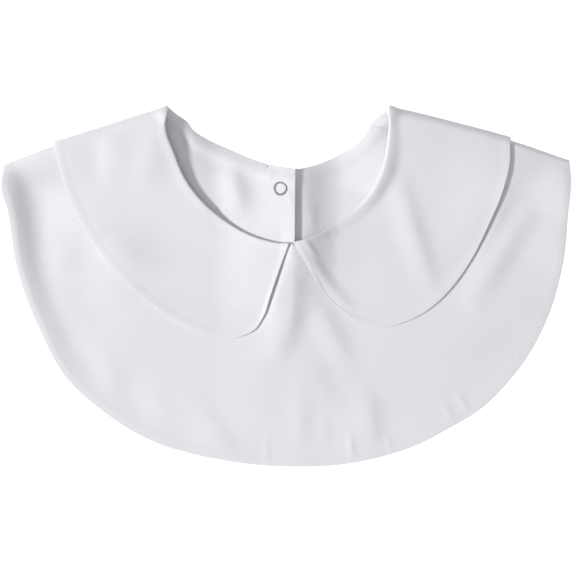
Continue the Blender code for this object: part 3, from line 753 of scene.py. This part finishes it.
def cloth_grid(middle, outward, above, below, edges, depth):
    """A cloth from its middle points, half walls and the distance to its free edges."""
    normal = grid_normals(middle, outward)
    return Cloth(middle, normal, above * rounded(edges), below * rounded(edges), depth)


def hem_ridge(distance, width, softness):
    """1 over the turned-in allowance along a sewn edge, falling to 0 past its width."""
    return 1 - smooth((distance - width + softness) / softness)


def front_dip(points):
    """How far the front's cloth stands lower beside the edges of the leaves."""
    dip = fold_relief(points, FRONT_DIPS, swell=2.0)
    return dip * smooth(from_shoulders(points) / DIP_CLEAR)


def cloth_wall(sizes, turned):
    """Half the thickness of a yoke's cloth, with what its turned-in edges add."""
    return sizes.yoke_thickness / MM / 2 + sizes.hem_thickening / MM * turned


def yoke_cloth(face, plan, depth, to_hem, ends, wall, drop=0.0):
    """A yoke panel's cloth, from its plan points, edge distances and half thickness."""
    surface, normal = cloth_surface(face, plan.reshape(-1, 2))
    middle = bowed(surface).reshape(*depth.shape, 3)
    middle[..., 2] += drop
    edges = np.minimum(np.minimum(ends, to_hem), depth - depth[:, :1])
    return cloth_grid(middle, normal.reshape(middle.shape), wall, wall, edges, depth)


def front_yoke_cloth(sizes):
    """The front yoke's cloth, from shoulder seam to shoulder seam."""
    total = neck_knots(YOKE_FRONT)[-1]
    columns = panel_columns(YOKE_FRONT, sizes.yoke_column_step / MM, roll_at_end=True)
    made = []
    for number, (place, angle) in enumerate(columns):
        at_end = number > len(columns) / 2
        fold = RIGHT if at_end else LEFT
        length = column_length(YOKE_FRONT, place)
        neck_x = section_lines(YOKE_FRONT, [place])[0][0, 0]
        outside = np.maximum(TAB_FROM_X - neck_x, neck_x - TAB_TO_X)
        tab = 1 - smooth(outside / TAB_STEP)
        start = SEAM_DEPTH - YOKE_TUCK - (SEAM_DEPTH - YOKE_TUCK - ROLL_START) * tab
        rows = edge_rows(start, length, sizes.yoke_rows)
        points, _ = column_points(YOKE_FRONT, fold, place, angle, rows, at_end)
        from_seam = roll_edge_distance(angle, fold.roll_end) + min(place, total - place)
        made.append((points, rows, length - rows, np.full(len(rows), from_seam)))
    plan, depth, to_hem, ends = map(np.array, zip(*made))
    hem = hem_ridge(to_hem, sizes.hem_width / MM, sizes.hem_softness / MM)
    drop = front_dip(plan.reshape(-1, 2)).reshape(depth.shape)
    return yoke_cloth("front", plan, depth, to_hem, ends, cloth_wall(sizes, hem), drop)


def back_half_cloth(face, sections, fold, leaf_end, sizes):
    """A back half's cloth, from its shoulder seam to its centre back edge."""
    total = neck_knots(sections)[-1]
    columns = panel_columns(sections, sizes.yoke_column_step / MM)
    made = []
    for place, angle in columns:
        length = column_length(sections, place)
        past_leaf = smooth((place - leaf_end) / NECK_STEP)
        start = SEAM_DEPTH - YOKE_TUCK - (SEAM_DEPTH - ROLL_START) * past_leaf
        rows = edge_rows(start, length, sizes.back_rows)
        points, _ = column_points(sections, fold, place, angle, rows)
        from_seam = roll_edge_distance(angle, fold.roll_end) + place
        end = np.full(len(rows), min(from_seam, total - place))
        made.append((points, rows, length - rows, end))
    plan, depth, to_hem, ends = map(np.array, zip(*made))
    to_edge = total - np.array([place for place, _ in columns])[:, None]
    turned = np.maximum(
        hem_ridge(to_hem, sizes.hem_width / MM, sizes.hem_softness / MM),
        hem_ridge(to_edge, sizes.placket_width / MM, sizes.placket_softness / MM),
    )
    wall = np.minimum(cloth_wall(sizes, turned), FLOOR_LEVEL - THREAD_ROOM)
    return yoke_cloth(face, plan, depth, to_hem, ends, wall)


def leaf_profile(length, roll, settle, rows):
    """Rows across a leaf: depth, offset from the yoke, and share of the outer layer."""
    profile = [(SEAM_DEPTH - step, 0.0, 0.0) for step in EDGE_STEPS]
    for angle in range(0, 181, 15):
        turn = np.radians(angle)
        over = (1 - np.cos(turn)) / 2
        profile.append((ROLL_START + roll - roll * np.sin(turn), 2 * roll * over, over))
    outer = edge_rows(ROLL_START + roll, length, rows)[len(EDGE_STEPS) - 1 :]
    settled = 1 - smooth((outer - ROLL_START - roll) / settle)
    offset = LEAF_OFFSET + (2 * roll - LEAF_OFFSET) * settled
    profile += [(depth, over, 1.0) for depth, over in zip(outer, offset)]
    return np.array(profile)


def leaf_half(sections, face, fold, columns, folds, rolls, sizes):
    """Middle points of a leaf's front or back part, with its edge distances."""
    total = neck_knots(sections)[-1]
    places, radii, settles = zip(*rolls)
    made = []
    for place, angle in columns:
        length = column_length(sections, place)
        roll, settle = np.interp(place, places, radii), np.interp(place, places, settles)
        depth, offset, over = leaf_profile(length, roll, settle, sizes.leaf_rows).T
        points, lift = column_points(sections, fold, place, angle, depth)
        lifts = lift * smooth((depth / length - LEAF_LIFT_FROM) / LEAF_LIFT_OVER)
        end = np.full(len(depth), total - place)
        made.append((points, depth, offset, over, lifts, length - depth, end))
    plan, depth, offset, over, lifts, to_outer, ends = map(np.array, zip(*made))
    flat = plan.reshape(-1, 2)
    surface, normal = cloth_surface(face, flat)
    if face == "front":
        away = smooth(fold_place(fold, flat)[1] / CREASE_CLEAR)
        rise = lifts.ravel() + (LEAF_SLACK + fold_relief(flat, folds)) * away
        offset = offset + over * rise.reshape(offset.shape)
    middle = bowed(surface + offset.reshape(-1, 1) * normal)
    edges = np.minimum(to_outer, ends)
    edges = np.where(over > 0, edges, np.minimum(edges, np.abs(SEAM_DEPTH - depth)))
    shape = plan.shape[:2]
    return middle.reshape(*shape, 3), normal.reshape(*shape, 3), edges, to_outer, ends, depth


def leaf_cloth(front, back, back_face, fold, folds, rolls, sizes):
    """One leaf in one piece: centre front, over the shoulder fold, to the centre back."""
    step = sizes.leaf_column_step / MM
    columns = panel_columns(front, step, seam=False)
    over = leaf_half(front, "front", fold, columns, folds, rolls, sizes)
    columns = panel_columns(back, step, seam=False)
    back_rolls = (rolls[0], Roll(BACK_ROLL_PLACE, BACK_ROLL, NECK_SETTLE))
    under = leaf_half(back, back_face, fold, columns, (), back_rolls, sizes)
    middle, outward, edges, to_outer, ends, depth = (
        np.concatenate([a[::-1], b[1:]]) for a, b in zip(over, under)
    )
    half = sizes.leaf_thickness / MM / 2
    width, soft = sizes.leaf_allowance / MM, sizes.hem_softness / MM
    to_edge = np.minimum(to_outer, ends)
    turned_in = sizes.leaf_thickening / MM * hem_ridge(to_edge, width, soft)
    return cloth_grid(middle, outward, half + turned_in, half, edges, depth)


# Meshes and materials


def add_mesh(name, vertices, faces, solid=False):
    """A new mesh object, in metres, with smooth faces that look outward if it is solid."""
    mesh = bpy.data.meshes.new(name)
    mesh.from_pydata(vertices, [], faces)
    mesh.validate()
    mesh.shade_smooth()
    if solid:
        shape = bmesh.new()
        shape.from_mesh(mesh)
        bmesh.ops.recalc_face_normals(shape, faces=shape.faces)
        shape.to_mesh(mesh)
        shape.free()
    piece = bpy.data.objects.new(name, mesh)
    bpy.context.scene.collection.objects.link(piece)
    return piece


def cloth_piece(name, cloth):
    """A closed thin shell with rounded edges from a cloth's grid."""
    rows, columns = cloth.middle.shape[:2]
    top = cloth.middle + cloth.normal * cloth.above[..., None]
    bottom = cloth.middle - cloth.normal * cloth.below[..., None]
    upper = np.arange(rows * columns).reshape(rows, columns)
    lower = upper.copy()
    inner = (rows - 2) * (columns - 2)
    lower[1:-1, 1:-1] = rows * columns + np.arange(inner).reshape(rows - 2, columns - 2)
    vertices = np.vstack([top.reshape(-1, 3), bottom[1:-1, 1:-1].reshape(-1, 3)]) * MM

    def quads(index, flip):
        corners = [index[:-1, :-1], index[1:, :-1], index[1:, 1:], index[:-1, 1:]]
        return np.stack(corners[::-1] if flip else corners, axis=2).reshape(-1, 4)

    faces = np.vstack([quads(upper, False), quads(lower, True)])
    return add_mesh(name, vertices.tolist(), faces.tolist(), solid=True)


def set_inputs(node, values):
    """Sets a node's sockets by their names."""
    for name, value in values.items():
        node.inputs[name].default_value = value


def toned_material(name, shade, colour, scale):
    """A material that drifts between two colours, with its place, noise and mix nodes."""
    material = bpy.data.materials.new(name)
    material.use_nodes = True
    nodes, links = material.node_tree.nodes, material.node_tree.links
    place = nodes.new("ShaderNodeTexCoord")
    tone = nodes.new("ShaderNodeTexNoise")
    tone.inputs["Scale"].default_value = scale
    mix = nodes.new("ShaderNodeMix")
    mix.data_type = "RGBA"
    mix.inputs[6].default_value = (*shade, 1.0)
    mix.inputs[7].default_value = (*colour, 1.0)
    links.new(place.outputs["Object"], tone.inputs["Vector"])
    links.new(tone.outputs["Fac"], mix.inputs[0])
    links.new(mix.outputs[2], nodes["Principled BSDF"].inputs["Base Color"])
    return material, place, tone, mix


def cotton(name, colours):
    """White cotton poplin: a fine plain weave, with uneven yarns and a soft sheen."""
    material, place, tone, mix = toned_material(
        name, colours.cotton_shade, colours.cotton, colours.tone_scale
    )
    nodes, links = material.node_tree.nodes, material.node_tree.links
    shader = nodes["Principled BSDF"]
    set_inputs(shader, {"Roughness": 0.88, "Specular IOR Level": 0.25})
    set_inputs(shader, {"Sheen Weight": 0.08, "Sheen Roughness": 0.5})
    tone.inputs["Detail"].default_value = 3.0
    spread = nodes.new("ShaderNodeMapRange")
    set_inputs(spread, {"From Min": 0.3, "From Max": 0.7})
    links.new(tone.outputs["Fac"], spread.inputs["Value"])
    links.new(spread.outputs["Result"], mix.inputs[0])
    weave = nodes.new("ShaderNodeMath")
    weave.operation = "MULTIPLY"
    for socket, direction in zip(weave.inputs, ("X", "Y")):
        yarns = nodes.new("ShaderNodeTexWave")
        yarns.bands_direction = direction
        set_inputs(yarns, {"Scale": colours.yarn_scale, "Distortion": 1.2, "Detail": 1.0})
        links.new(place.outputs["Object"], yarns.inputs["Vector"])
        links.new(yarns.outputs["Fac"], socket)
    bump = nodes.new("ShaderNodeBump")
    set_inputs(bump, {"Strength": 0.35, "Distance": colours.yarn_depth})
    links.new(weave.outputs["Value"], bump.inputs["Height"])
    links.new(bump.outputs["Normal"], shader.inputs["Normal"])
    return material


def thread(name, colours):
    """Twisted sewing thread, a little glossier than the cloth."""
    material = toned_material(name, colours.thread, colours.cotton, 900.0)[0]
    set_inputs(material.node_tree.nodes["Principled BSDF"], {"Roughness": 0.6})
    return material


def pressed_steel(name, colours):
    """Nickel-bright pressed steel with faint polishing marks."""
    material, _, grain, _ = toned_material(name, colours.steel_shade, colours.steel, 1400.0)
    nodes, links = material.node_tree.nodes, material.node_tree.links
    shader = nodes["Principled BSDF"]
    shader.inputs["Metallic"].default_value = 1.0
    rough = nodes.new("ShaderNodeMapRange")
    set_inputs(rough, {"To Min": 0.42, "To Max": 0.56})
    links.new(grain.outputs["Fac"], rough.inputs["Value"])
    links.new(rough.outputs["Result"], shader.inputs["Roughness"])
    return material


def table_finish(name, stage):
    """Smooth grey table with a barely uneven tone, and a painted glow that makes it look
    near-white and washes out the shadows cast on it.
    """
    lighter = [min(1.0, c + 0.01) for c in stage.table_colour]
    material = toned_material(name, stage.table_colour, lighter, 6.0)[0]
    shader = material.node_tree.nodes["Principled BSDF"]
    # Painted glow: the table gives off light though it is no lamp, which fills the shadows cast
    # on it
    shader.inputs["Emission Color"].default_value = (1.0, 1.0, 1.0, 1.0)
    set_inputs(shader, {"Roughness": 0.9, "Emission Strength": stage.table_glow})
    return material


def soft_lamp(name, place, size, strength):
    """A round soft light that faces the collar, with its strength as it arrives there."""
    lamp = bpy.data.lights.new(name, "AREA")
    lamp.shape = "DISK"
    lamp.size = size
    lamp.energy = strength * np.pi * Vector(place).length_squared
    light = bpy.data.objects.new(name, lamp)
    light.location = place
    light.rotation_euler = (-Vector(place)).to_track_quat("-Z", "Y").to_euler()
    bpy.context.scene.collection.objects.link(light)


# Snap and stitches


def turned_piece(name, profile, at, sides, closed, up=(0.0, 0.0, 1.0)):
    """A round piece from (radius, height) pairs run round its section, about up."""
    vertices, faces, rings = [], [], []
    turn_up = Vector((0.0, 0.0, 1.0)).rotation_difference(Vector(up))
    for radius, rise in profile:
        count = 1 if radius == 0.0 else sides
        rings.append(list(range(len(vertices), len(vertices) + count)))
        for k in range(count):
            turn = 2 * np.pi * k / sides
            point = turn_up @ Vector((radius * np.cos(turn), radius * np.sin(turn), rise))
            vertices.append(tuple(MM * (c + a) for c, a in zip(point, at)))
    pairs = list(zip(rings, rings[1:])) + ([(rings[-1], rings[0])] if closed else [])
    for inner, outer in pairs:
        for k in range(sides):
            n = (k + 1) % sides
            if len(inner) == 1:
                faces.append((inner[0], outer[k], outer[n]))
            elif len(outer) == 1:
                faces.append((inner[k], outer[0], inner[n]))
            else:
                faces.append((inner[k], outer[k], outer[n], inner[n]))
    return add_mesh(name, vertices, faces, solid=True)


def ring_section(outer, inner, height, steps=10):
    """Section of a pressed ring: flat below, rounded over its top."""
    middle, half = (outer + inner) / 2, (outer - inner) / 2
    section = [(inner + RING_BEVEL, 0.0), (outer - RING_BEVEL, 0.0)]
    for turn in np.pi * np.arange(steps + 1) / steps:
        rise = RING_FOOT + (height - RING_FOOT) * np.sin(turn)
        section.append((middle + half * np.cos(turn), rise))
    return section


def snap_room(node):
    """Foot, height and half width that a snap piece's solid gives it."""
    low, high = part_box(node)
    foot = ((low.x + high.x) / 2 / MM, (low.y + high.y) / 2 / MM, low.z / MM)
    return foot, (high.z - low.z) / MM, (high.x - low.x) / MM / 2


def hem_line(cloth):
    """Points and normals on a panel's outside, where its hem is stitched."""
    surface = cloth.middle + cloth.normal * cloth.above[..., None]
    found = []
    for column in range(len(cloth.depth))[STITCH_COLUMNS]:
        depth = cloth.depth[column]
        both = np.hstack([surface[column], cloth.normal[column]])
        found.append([np.interp(depth[-1] - STITCH_INSET, depth, values) for values in both.T])
    points, normals = np.hsplit(np.array(found), 2)
    return points, normals / np.linalg.norm(normals, axis=1)[:, None]


def stitched_piece(name, line, sizes):
    """One joined mesh of the stitches laid end to end along a line on the cloth."""
    points, normals = line
    length, width = sizes.stitch_length / MM, sizes.thread_width / MM
    pitch = length + sizes.stitch_gap / MM
    along = np.r_[0.0, np.cumsum(np.linalg.norm(np.diff(points, axis=0), axis=1))]

    def on_line(values, at):
        return np.array([np.interp(at, along, values[:, k]) for k in range(3)])

    vertices, faces = [], []
    for number in range(int(along[-1] / pitch)):
        base = len(vertices)
        for share, girth in STITCH_SHAPE:
            at = number * pitch + share * length
            point, normal = on_line(points, at), on_line(normals, at)
            run = on_line(points, at + STITCH_PROBE) - point
            across = np.cross(normal, run / (np.linalg.norm(run) + 1e-9))
            lift = width * (STITCH_RISE * (girth - STITCH_SHAPE[0][1]) - STITCH_SINK)
            for turn in 2 * np.pi * np.arange(STITCH_SIDES) / STITCH_SIDES:
                ring = across * np.cos(turn) + normal * np.sin(turn)
                vertices.append((point + normal * lift + ring * girth * width / 2) * MM)
        rings = np.arange(base, len(vertices)).reshape(-1, STITCH_SIDES)
        for low, high in zip(rings, rings[1:]):
            turned = (low, np.roll(low, -1), np.roll(high, -1), high)
            faces += np.stack(turned, axis=1).tolist()
        faces += [rings[0][::-1].tolist(), rings[-1].tolist()]
    return add_mesh(name, np.array(vertices).tolist(), faces)


def ride_and_dress(piece, node, material):
    """Fixes a piece to the part, lets it stand for its node and gives it its finish."""
    piece.data.materials.append(material)
    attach(piece, "root")
    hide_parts(node)


# Sizes and colours that a user would change


class CollarClothSizes(bpy.types.PropertyGroup):
    """Sizes of the cloth and its sewing."""

    yoke_thickness: FloatProperty(
        name="Yoke thickness", description="Thickness of the yoke's cloth", default=0.0007,
        unit="LENGTH",
    )
    leaf_thickness: FloatProperty(
        name="Leaf thickness", description="Thickness of a leaf's upper and under cloth together",
        default=0.00075, unit="LENGTH",
    )
    hem_thickening: FloatProperty(
        name="Hem thickening", description="What the turned hem adds on each side",
        default=0.00014, unit="LENGTH",
    )
    hem_width: FloatProperty(
        name="Hem width", description="Depth of the turned hem", default=0.006, unit="LENGTH"
    )
    hem_softness: FloatProperty(
        name="Hem softness", description="Width over which the hem's edge shows through",
        default=0.0012, unit="LENGTH",
    )
    placket_width: FloatProperty(
        name="Placket width", description="Depth of the folded edge at the centre back",
        default=0.014, unit="LENGTH",
    )
    placket_softness: FloatProperty(
        name="Placket softness",
        description="Width over which the placket's inner edge shows through", default=0.004,
        unit="LENGTH",
    )
    leaf_allowance: FloatProperty(
        name="Leaf seam allowance",
        description="Width of the seam allowance inside a leaf's edge", default=0.005,
        unit="LENGTH",
    )
    leaf_thickening: FloatProperty(
        name="Leaf thickening", description="What the seam allowance adds on the outside",
        default=0.00025, unit="LENGTH",
    )
    yoke_column_step: FloatProperty(
        name="Yoke column step",
        description="Distance between cloth points along the neck edge of the yoke",
        default=0.0007, unit="LENGTH",
    )
    leaf_column_step: FloatProperty(
        name="Leaf column step",
        description="Distance between cloth points along the neck edge of a leaf", default=0.0009,
        unit="LENGTH",
    )
    yoke_rows: IntProperty(
        name="Front rows", description="Rows of cloth points on the front", default=74
    )
    back_rows: IntProperty(
        name="Back rows", description="Rows of cloth points on a back half", default=60
    )
    leaf_rows: IntProperty(
        name="Leaf rows", description="Rows of cloth points on a leaf", default=48
    )
    stitch_length: FloatProperty(
        name="Stitch length", description="Length of a stitch", default=0.0022, unit="LENGTH"
    )
    stitch_gap: FloatProperty(
        name="Stitch gap", description="Gap between stitches", default=0.0005, unit="LENGTH"
    )
    thread_width: FloatProperty(
        name="Thread width", description="Thickness of the thread", default=0.00028, unit="LENGTH"
    )


class CollarColours(bpy.types.PropertyGroup):
    """Colours and weave of the collar's materials."""

    cotton: FloatVectorProperty(
        name="Cotton", description="Colour of the cotton", default=(0.768, 0.777, 0.808),
        subtype="COLOR", min=0.0, max=1.0,
    )
    cotton_shade: FloatVectorProperty(
        name="Cotton shade", description="Colour of the cotton's slightly darker patches",
        default=(0.742, 0.752, 0.786), subtype="COLOR", min=0.0, max=1.0,
    )
    thread: FloatVectorProperty(
        name="Thread", description="Colour of the sewing thread", default=(0.78, 0.78, 0.79),
        subtype="COLOR", min=0.0, max=1.0,
    )
    steel: FloatVectorProperty(
        name="Steel", description="Colour of the snap", default=(0.33, 0.33, 0.34),
        subtype="COLOR", min=0.0, max=1.0,
    )
    steel_shade: FloatVectorProperty(
        name="Steel shade", description="Colour of the snap's duller marks",
        default=(0.26, 0.26, 0.27), subtype="COLOR", min=0.0, max=1.0,
    )
    tone_scale: FloatProperty(
        name="Tone scale", description="Patches of tone per metre", default=28.0
    )
    yarn_scale: FloatProperty(
        name="Yarn scale", description="Scale of the weave's bands", default=520.0
    )
    yarn_depth: FloatProperty(
        name="Yarn depth", description="Relief of the weave", default=0.00005, unit="LENGTH"
    )


class CollarSnapSizes(bpy.types.PropertyGroup):
    """Sizes of the ring snap."""

    diameter: FloatProperty(
        name="Diameter", description="Outer diameter of the ring snap",
        default=(RING_BOX[1] - RING_BOX[0]).x, unit="LENGTH",
    )
    band: FloatProperty(
        name="Ring band", description="Width of the ring's band", default=0.0014, unit="LENGTH"
    )
    sides: IntProperty(name="Sides", description="Sides of the turned pieces", default=72)


class CollarStage(bpy.types.PropertyGroup):
    """Table, light and camera."""

    table_colour: FloatVectorProperty(
        name="Table", description="Colour of the table", default=(0.5, 0.5, 0.5), subtype="COLOR",
        min=0.0, max=1.0,
    )
    # The table's glow is painted light, which washes out the shadows cast on the table
    table_glow: FloatProperty(
        name="Table glow", description="Light that the lit table gives off", default=0.78
    )
    table_size: FloatProperty(
        name="Table size", description="Width of the table", default=6.0, unit="LENGTH"
    )
    key_strength: FloatProperty(
        name="Key light", description="Strength at the collar of the light from the side",
        default=2.66,
    )
    key_distance: FloatProperty(
        name="Key distance", description="Distance of the light from the side", default=4.2,
        unit="LENGTH",
    )
    key_spread: FloatProperty(
        name="Key spread",
        description="How wide the light from the side is, seen from the collar", default=0.18,
        subtype="ANGLE",
    )
    key_height: FloatProperty(
        name="Key height", description="Height of the light from the side over the horizon",
        default=0.64, subtype="ANGLE",
    )
    key_turn: FloatProperty(
        name="Key turn", description="Turn of the light from the side towards the hem",
        default=0.17, subtype="ANGLE",
    )
    fill: FloatProperty(name="Fill", description="Strength of the light all round", default=0.38)
    top_strength: FloatProperty(
        name="Top light", description="Strength at the collar of the light from above",
        default=0.36,
    )
    top_height: FloatProperty(
        name="Top height", description="Height of the light from above", default=2.8,
        unit="LENGTH",
    )
    top_size: FloatProperty(
        name="Top size", description="Width of the light from above", default=1.2, unit="LENGTH"
    )
    camera_height: FloatProperty(
        name="Camera height", description="Height of the camera", default=2.5, unit="LENGTH"
    )
    view_width: FloatProperty(
        name="View width", description="Width of what the camera sees", default=0.382,
        unit="LENGTH",
    )


# Operators

MATERIALS = {}


def shared_material(kind, name):
    """One material of each kind, shared by the pieces that it finishes."""
    if name not in MATERIALS:
        MATERIALS[name] = kind(name, bpy.context.scene.collar_colours)
    return MATERIALS[name]


class COLLAR_OT_front_yoke(bpy.types.Operator):
    """Makes the front yoke's cloth and its hem stitches"""

    bl_idname = "collar.front_yoke"
    bl_label = "Front yoke"

    def execute(self, context):
        sizes = context.scene.collar_cloth
        cloth = front_yoke_cloth(sizes)
        piece = cloth_piece("yoke_front_cloth", cloth)
        ride_and_dress(piece, "yoke_front", shared_material(cotton, "yoke_cotton"))
        stitches = stitched_piece("yoke_front_stitches", hem_line(cloth), sizes)
        stitches.data.materials.append(shared_material(thread, "white_thread"))
        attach(stitches, "root")
        return {"FINISHED"}


class COLLAR_OT_back_halves(bpy.types.Operator):
    """Makes the two back halves' cloth and their hem stitches"""

    bl_idname = "collar.back_halves"
    bl_label = "Back halves"

    def execute(self, context):
        sizes = context.scene.collar_cloth
        halves = (
            ("left", YOKE_BACK_LEFT, LEFT, LEAF_BACK_LEFT, 0.0258),
            ("right", YOKE_BACK_RIGHT, RIGHT, LEAF_BACK_RIGHT, 0.027),
        )
        for side, sections, fold, leaf, area in halves:
            leaf_end = neck_knots(leaf)[-1]
            cloth = back_half_cloth(f"back_{side}", sections, fold, leaf_end, sizes)
            piece = cloth_piece(f"yoke_back_{side}_cloth", cloth)
            cloth_kind = shared_material(cotton, "yoke_cotton")
            ride_and_dress(piece, f"yoke_back_{side}", cloth_kind)
            stitches = stitched_piece(f"yoke_back_{side}_stitches", hem_line(cloth), sizes)
            stitches.data.materials.append(shared_material(thread, "white_thread"))
            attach(stitches, "root")
        return {"FINISHED"}


class COLLAR_OT_leaves(bpy.types.Operator):
    """Makes the two collar leaves"""

    bl_idname = "collar.leaves"
    bl_label = "Collar leaves"

    def execute(self, context):
        sizes = context.scene.collar_cloth
        leaves = (
            ("left", LEAF_FRONT_LEFT, LEAF_BACK_LEFT, LEFT, LEAF_LEFT_FOLDS, LEFT_ROLLS),
            ("right", LEAF_FRONT_RIGHT, LEAF_BACK_RIGHT, RIGHT, LEAF_RIGHT_FOLDS, RIGHT_ROLLS),
        )
        for side, front, back, fold, folds, rolls in leaves:
            cloth = leaf_cloth(front, back, f"back_{side}", fold, folds, rolls, sizes)
            piece = cloth_piece(f"leaf_{side}_cloth", cloth)
            ride_and_dress(piece, f"leaf_{side}", shared_material(cotton, "leaf_cotton"))
        return {"FINISHED"}


class COLLAR_OT_snap(bpy.types.Operator):
    """Makes the four pieces of the ring snap"""

    bl_idname = "collar.snap"
    bl_label = "Ring snap"

    def execute(self, context):
        sizes = context.scene.collar_snap
        outer = sizes.diameter / MM / 2
        steel = shared_material(pressed_steel, "snap_steel")
        half = context.scene.collar_cloth.yoke_thickness / MM / 2
        rings = (("snap_ring_inner", "back_left", 1), ("snap_ring_outer", "back_right", -1))
        for node, face, side in rings:
            _, tall, _ = snap_room(node)
            section = ring_section(outer, outer - sizes.band / MM, tall)
            middle, normal = cloth_surface(face, np.array([[SNAP_X, SNAP_Y]]))
            up = normal[0] * np.sign(normal[0][2]) * side
            at = middle[0] + up * half
            piece = turned_piece(f"{node}_metal", section, at, sizes.sides, True, up)
            ride_and_dress(piece, node, steel)
        foot, tall, wide = snap_room("snap_socket")
        profile = (
            (2.2, 0.2), (2.4, 0.0), (wide - 0.25, 0.0), (wide, 0.25), (wide, tall - 0.6),
            (wide - 0.3, tall - 0.35), (3.4, tall - 0.3), (3.1, tall), (2.5, tall),
            (2.2, tall - 0.3),
        )
        piece = turned_piece("snap_socket_metal", profile, foot, sizes.sides, True)
        ride_and_dress(piece, "snap_socket", steel)
        (x, y, low), tall, wide = snap_room("snap_stud")
        profile = (
            (0.0, 0.0), (1.1, 0.0), (1.6, 0.15), (1.75, 0.45), (1.6, 0.8), (1.5, 1.2),
            (1.8, tall - 0.7), (wide - 0.2, tall - 0.7), (wide, tall - 0.5),
            (wide, tall - 0.2), (wide - 0.2, tall), (0.0, tall),
        )
        foot = (x, y, low - STUD_DROP)
        piece = turned_piece("snap_stud_metal", profile, foot, sizes.sides, False)
        ride_and_dress(piece, "snap_stud", steel)
        return {"FINISHED"}


class COLLAR_OT_stage(bpy.types.Operator):
    """Makes the table, the lights and the camera over the collar"""

    bl_idname = "collar.stage"
    bl_label = "Table, light and camera"

    def execute(self, context):
        stage = context.scene.collar_stage
        half = stage.table_size / 2
        corners = [(-half, -half, 0.0), (half, -half, 0.0), (half, half, 0.0), (-half, half, 0.0)]
        table = add_mesh("table_top", corners, [(0, 1, 2, 3)])
        table.data.materials.append(table_finish("pale_table", stage))
        level = np.cos(stage.key_height) * stage.key_distance
        place = (
            -level * np.cos(stage.key_turn),
            -level * np.sin(stage.key_turn),
            np.sin(stage.key_height) * stage.key_distance,
        )
        soft_lamp("key_light", place, stage.key_spread * stage.key_distance, stage.key_strength)
        soft_lamp("top_light", (0.0, 0.0, stage.top_height), stage.top_size, stage.top_strength)
        world = bpy.data.worlds.new("room_light")
        world.use_nodes = True
        world.node_tree.nodes["Background"].inputs["Color"].default_value = (1.0, 1.0, 1.0, 1.0)
        world.node_tree.nodes["Background"].inputs["Strength"].default_value = stage.fill
        context.scene.world = world
        lens = bpy.data.cameras.new("photo_camera")
        lens.lens = lens.sensor_width * stage.camera_height / stage.view_width
        camera = bpy.data.objects.new("photo_camera", lens)
        camera.location = (CAMERA_X, CAMERA_Y, stage.camera_height)
        context.scene.collection.objects.link(camera)
        context.scene.camera = camera
        context.scene.view_settings.view_transform = "Standard"
        return {"FINISHED"}


class COLLAR_PT_sidebar(bpy.types.Panel):
    """Lists the collar's sizes, colours and steps"""

    bl_idname = "COLLAR_PT_sidebar"
    bl_label = "False Collar"
    bl_space_type = "VIEW_3D"
    bl_region_type = "UI"
    bl_category = "Collar"

    def draw(self, context):
        layout = self.layout
        for name, kind in SETTINGS:
            box = layout.box()
            box.label(text=kind.__doc__)
            group = getattr(context.scene, name)
            for key in kind.__annotations__:
                box.prop(group, key)
        for step in STEPS:
            layout.operator(step.bl_idname)


SETTINGS = (
    ("collar_cloth", CollarClothSizes),
    ("collar_colours", CollarColours),
    ("collar_snap", CollarSnapSizes),
    ("collar_stage", CollarStage),
)
STEPS = (
    COLLAR_OT_stage,
    COLLAR_OT_back_halves,
    COLLAR_OT_front_yoke,
    COLLAR_OT_leaves,
    COLLAR_OT_snap,
)


def register():
    for name, kind in SETTINGS:
        bpy.utils.register_class(kind)
        setattr(bpy.types.Scene, name, PointerProperty(type=kind))
    for step in STEPS:
        bpy.utils.register_class(step)
    bpy.utils.register_class(COLLAR_PT_sidebar)


def unregister():
    bpy.utils.unregister_class(COLLAR_PT_sidebar)
    for step in reversed(STEPS):
        bpy.utils.unregister_class(step)
    for name, kind in reversed(SETTINGS):
        delattr(bpy.types.Scene, name)
        bpy.utils.unregister_class(kind)


def main():
    register()
    bpy.ops.collar.stage()
    bpy.ops.collar.back_halves()
    bpy.ops.collar.front_yoke()
    bpy.ops.collar.leaves()
    bpy.ops.collar.snap()


if __name__ == "__main__":
    main()
